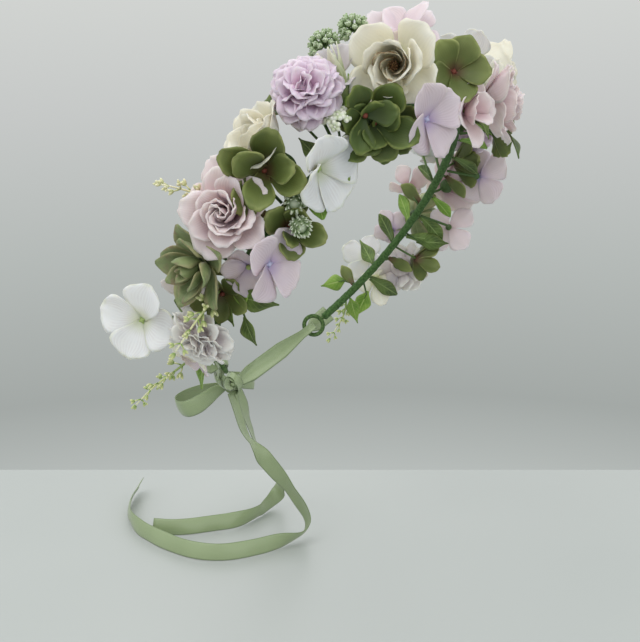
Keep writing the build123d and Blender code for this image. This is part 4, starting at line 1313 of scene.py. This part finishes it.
# ---------------------------------------------------------------- what fills the gaps between the flowers
# name: foot station; place as station, forward and height; lean along and forward; cloth; outline;
# thickness; and for each whorl the petals, their length, width and opening
FILLERS = {
    "olive_cluster_right": (92, (89, -8, 21), (0.1, 0.6), "olive", "broad", 0.6,
                            ((4, 23, 16, 72), (3, 18, 14, 50))),
    "olive_petals_under_pods": (101, (99, 9, 6), (-0.5, 1.0), "olive", "broad", 0.6,
                                ((4, 17, 12, 70), (2, 13, 10, 40))),
    "green_cluster_front": (54, (51, 6, 15), (0.4, 0.9), "green", "floret", 0.5,
                            ((4, 17, 16, 74), (2, 13, 12, 52))),
    "green_petals_upper": (52, (54, 4, 21), (0.3, 0.9), "green", "floret", 0.5, ((3, 14, 13, 70),)),
    "mauve_petals_front": (10, (13, 20, 11), (0.2, 1.0), "mauve", "broad", PETAL_SHEET,
                           ((4, 16, 15, 66), (3, 13, 13, 40))),
    "green_petals_inner": (46, (45, 9, 7), (0.2, 1.2), "green", "broad", 0.6, ((4, 14, 12, 72),)),
    "grey_lilac_petals_front": (48, (49, -20, 15), (0.1, -0.1), "grey_lilac", "floret", PETAL_SHEET,
                                ((4, 15, 14, 58),)),
    "pink_petals_front": (20, (22, -16, 19), (0.3, -0.5), "pink", "floret", PETAL_SHEET,
                          ((4, 20, 15, 58),)),
    "lilac_petals_nape": (181, (182, 4, 9), (0.4, 0.3), "lavender", "floret", PETAL_SHEET,
                          ((4, 12, 12, 66),)),
    "cream_petals_nape": (166, (165, 2, 13), (0.5, 0.4), "cream", "broad", PETAL_SHEET,
                          ((4, 18, 15, 62),)),
    "grey_petals_right": (145, (144, -8, 12), (0.1, 0.3), "grey_lilac", "floret", PETAL_SHEET,
                          ((4, 14, 13, 66),)),
    "lavender_petals_low": (120, (121, 7, 8), (0.2, 0.7), "lavender", "floret", PETAL_SHEET,
                            ((4, 14, 15, 70),)),
    "mauve_petals_behind": (106, (104, -21, 12), (0.0, -0.6), "mauve", "floret", PETAL_SHEET,
                            ((4, 15, 14, 62),)),
    "olive_cluster_left": (-90, (-90, 0, 12), (0.1, 0.5), "olive", "broad", 0.7,
                           ((6, 17, 12, 66), (4, 14, 11, 38))),
    "olive_petals_left": (-31, (-29, 8, 9), (0.3, 0.7), "olive", "broad", 0.6, ((5, 16, 12, 66),)),
    "green_cluster_left": (-62, (-61, -6, 10), (-0.2, -0.2), "green", "broad", 0.6,
                           ((5, 17, 12, 66), (3, 13, 10, 36))),
    "grey_lilac_petals_left": (-60, (-59, -20, 12), (0.0, -0.5), "grey_lilac", "floret", PETAL_SHEET,
                               ((4, 15, 14, 62),)),
    "white_petals_top": (4, (2, -10, 12), (0.0, -0.4), "white", "floret", PETAL_SHEET,
                         ((4, 15, 15, 62),)),
    "pink_petals_top": (-38, (-38, 12, 10), (0.0, 0.9), "pink", "floret", PETAL_SHEET,
                        ((4, 15, 14, 66),)),
    "lavender_petals_top": (-12, (-10, -6, 12), (0.2, 0.2), "lavender", "floret", PETAL_SHEET,
                            ((4, 16, 16, 66),)),
    "green_petals_top": (-4, (-3, 8, 7), (0.2, 1.0), "green", "broad", 0.5, ((5, 14, 11, 70),)),
    "olive_cluster_top": (8, (6, -18, 10), (0.1, -0.8), "olive", "broad", 0.6,
                          ((5, 15, 12, 68), (3, 12, 10, 40))),
    "cream_petals_top": (-26, (-25, 6, 14), (0.0, 0.6), "cream", "broad", PETAL_SHEET,
                         ((4, 16, 15, 58), (3, 12, 11, 34))),
    "olive_petals_low": (140, (139, 3, 8), (0.0, 0.7), "olive", "broad", 0.5, ((5, 16, 10, 72),)),
    "green_petals_behind": (66, (66, -26, 8), (0.0, -1.0), "green", "broad", 0.5, ((5, 15, 11, 68),)),
    "lilac_petals_left": (-145, (-143, -8, 12), (-0.1, -0.4), "lavender", "floret", PETAL_SHEET,
                          ((4, 14, 13, 66),)),
    "cream_petals_nape_left": (-170, (-168, 4, 10), (-0.4, 0.2), "cream", "broad", PETAL_SHEET,
                               ((4, 15, 13, 64),)),
    "olive_cluster_nape_left": (-146, (-145, 14, 7), (0.0, 0.8), "olive", "broad", 0.6,
                                ((5, 14, 11, 66),)),
    "mauve_petals_left": (-118, (-119, -16, 12), (0.0, -0.6), "mauve", "floret", PETAL_SHEET,
                          ((4, 15, 14, 62),)),
    "white_petals_side": (-100, (-98, -18, 11), (0.1, -0.6), "white", "floret", PETAL_SHEET,
                          ((4, 14, 14, 66),)),
}


def make_fillers():
    for name, (foot_station, spot, lean, material, outline, thick, whorls) in FILLERS.items():
        rng = random.Random(name)
        centre = on_band(*spot)
        point, along, ahead, out = band(spot[0] * MM)
        axis = (out + along * lean[0] + ahead * lean[1]).normalized()
        start = axis.orthogonal().normalized()
        heart = "green_heart" if thick < 0.5 else "red_heart"
        shape = Shape(name, [MATERIALS[material], MATERIALS["stem"], MATERIALS[heart]])
        foot = clear_foot(foot_station, centre)
        shape.tube([foot, foot.lerp(centre, 0.6) - axis * 1.0 * MM, centre], 0.6 * MM, 7, 0.5, 1)
        for ring, (count, length, width, opening) in enumerate(whorls):
            spec = dict(count=count, turn=38 * ring + rng.uniform(0, 40), open=opening, length=length,
                        width=width, outline=outline, wrap=(7, 12), roll=0.04, ruffle=0.05, base=0.6,
                        rise=0.8 * ring, twist=9, spread=0.16, size=(9, 13),
                        bends=[(0, 0), (0.4, -14), (0.8, -14), (1, 22)])
            whorl(shape, centre, axis, start, spec, rng, thick, 0)
        shape.blob(centre + axis * 1.2 * MM, axis, 1.2 * MM, 2.2 * MM, 10, 6, 0.4, 2)
        shape.build("crown", PETAL_SLOTS[material])


def make_greenery():
    """Small leaves wired all along the tape, leaning to one side and then the other."""
    rng = random.Random(88)
    shape = Shape("small_leaves_along_tape",
                  [MATERIALS[look] for look in ("leaf", "olive", "leaf_bright", "stem")])
    station, last_station = -186.0, 188.0
    side = 1
    while station < last_station:
        reach = rng.uniform(13, 20)
        foot_side = side * 2.4
        base = on_band(station, foot_side, 2.6)
        tip = on_band(station + rng.uniform(-9, 9), side * reach, rng.uniform(6, 13))
        out = band(station * MM)[3]
        foot = clear_foot(station, base)
        shape.tube([foot, foot.lerp(base, 0.5) + out * 0.3 * MM, base], 0.45 * MM, 6, 0.5, 3)
        blade(shape, base, tip, rng.uniform(6.5, 9.5) * MM, out, rng, rng.choice((0, 0, 1, 1, 2)),
              rng.choice(("leaf", "spoon")), 0.12, rng.uniform(6, 16))
        side = -side
        station += rng.uniform(6.5, 9.5)
    shape.build("crown", "leaf")


# ---------------------------------------------------------------- the whole crown
def paint(name, material):
    for holder in frame["nodes"][name].material_slots:
        holder.material = MATERIALS[material]


make_tape()
paint("frame_wire", "wire")
paint("floret_stems_right", "stem")
paint("floret_stems_left", "stem")
for node in frame["nodes"]:
    if node.endswith("_stem"):
        paint(node, "stem")

make_rose("rose_cream_front", ROSE_CREAM, "cream", "cream_heart", 0.83, 11, 2.6)
make_rose("rose_cream_right", ROSE_CREAM, "cream", "cream", 0.82, 12)
make_rose("rose_cream_left", ROSE_CREAM, "cream", "cream_heart", 0.92, 13, 2.6)
make_rose("rose_mauve_front", ROSE_MAUVE, "mauve", "mauve", 0.84, 21)
make_rose("rose_mauve_right", ROSE_MAUVE, "mauve", "mauve", 0.78, 22)
make_rose("rose_mauve_left", ROSE_MAUVE, "mauve", "mauve", 0.90, 23)
for node, seed, radius in (("pompom_lilac_right", 31, 13.8), ("pompom_lilac_left", 32, 16.5)):
    make_pompom(node, "lilac", radius, 20, 58, 12.0, seed)
for node, seed, radius in (("pompom_ivory_right", 41, 15.0), ("pompom_ivory_left", 42, 15.5)):
    make_pompom(node, "ivory", radius, 15, 48, 10.0, seed, 0.08, "broad", 34)
make_succulent("succulent_right", 1.12, 51)
make_succulent("succulent_left", 1.08, 52)

# name: cloth, heart, petals, petal width in mm, seed
FLORETS = {
    "floret_pink_front": ("pink", "green_heart", 4, 14, 61),
    "floret_olive_front": ("olive", "red_heart", 5, 14.5, 62),
    "floret_lavender_front": ("lavender", "blue_heart", 4, 20, 63),
    "floret_green_front": ("green", "green_heart", 4, 15, 64),
    "floret_white_right": ("white", "green_heart", 4, 24, 65),
    "floret_olive_right": ("olive", "green_heart", 5, 10, 66),
    "floret_lavender_right": ("lavender", "blue_heart", 4, 20, 67),
    "floret_white_nape": ("white", "green_heart", 4, 22, 68),
    "floret_white_left": ("white", "green_heart", 4, 16, 69),
    "floret_green_left": ("green", "green_heart", 4, 15, 70),
    "floret_lavender_left": ("lavender", "blue_heart", 4, 19, 71),
    "floret_olive_left": ("olive", "red_heart", 5, 14, 72),
    "floret_pink_left": ("pink", "green_heart", 4, 15, 73),
    "floret_white_nape_left": ("white", "green_heart", 4, 16, 74),
}
for node, row in FLORETS.items():
    make_floret(node, *row)

make_leaves()
make_fillers()
make_greenery()
for name, row in SPRIGS.items():
    make_sprig(name, *row)
pod_rng = random.Random(31)     # shared, so that each kind draws after the one before
for make in (make_pods, make_umbels, make_small_white, make_bud):
    make(pod_rng)
make_strands()
make_knot()
make_bows()
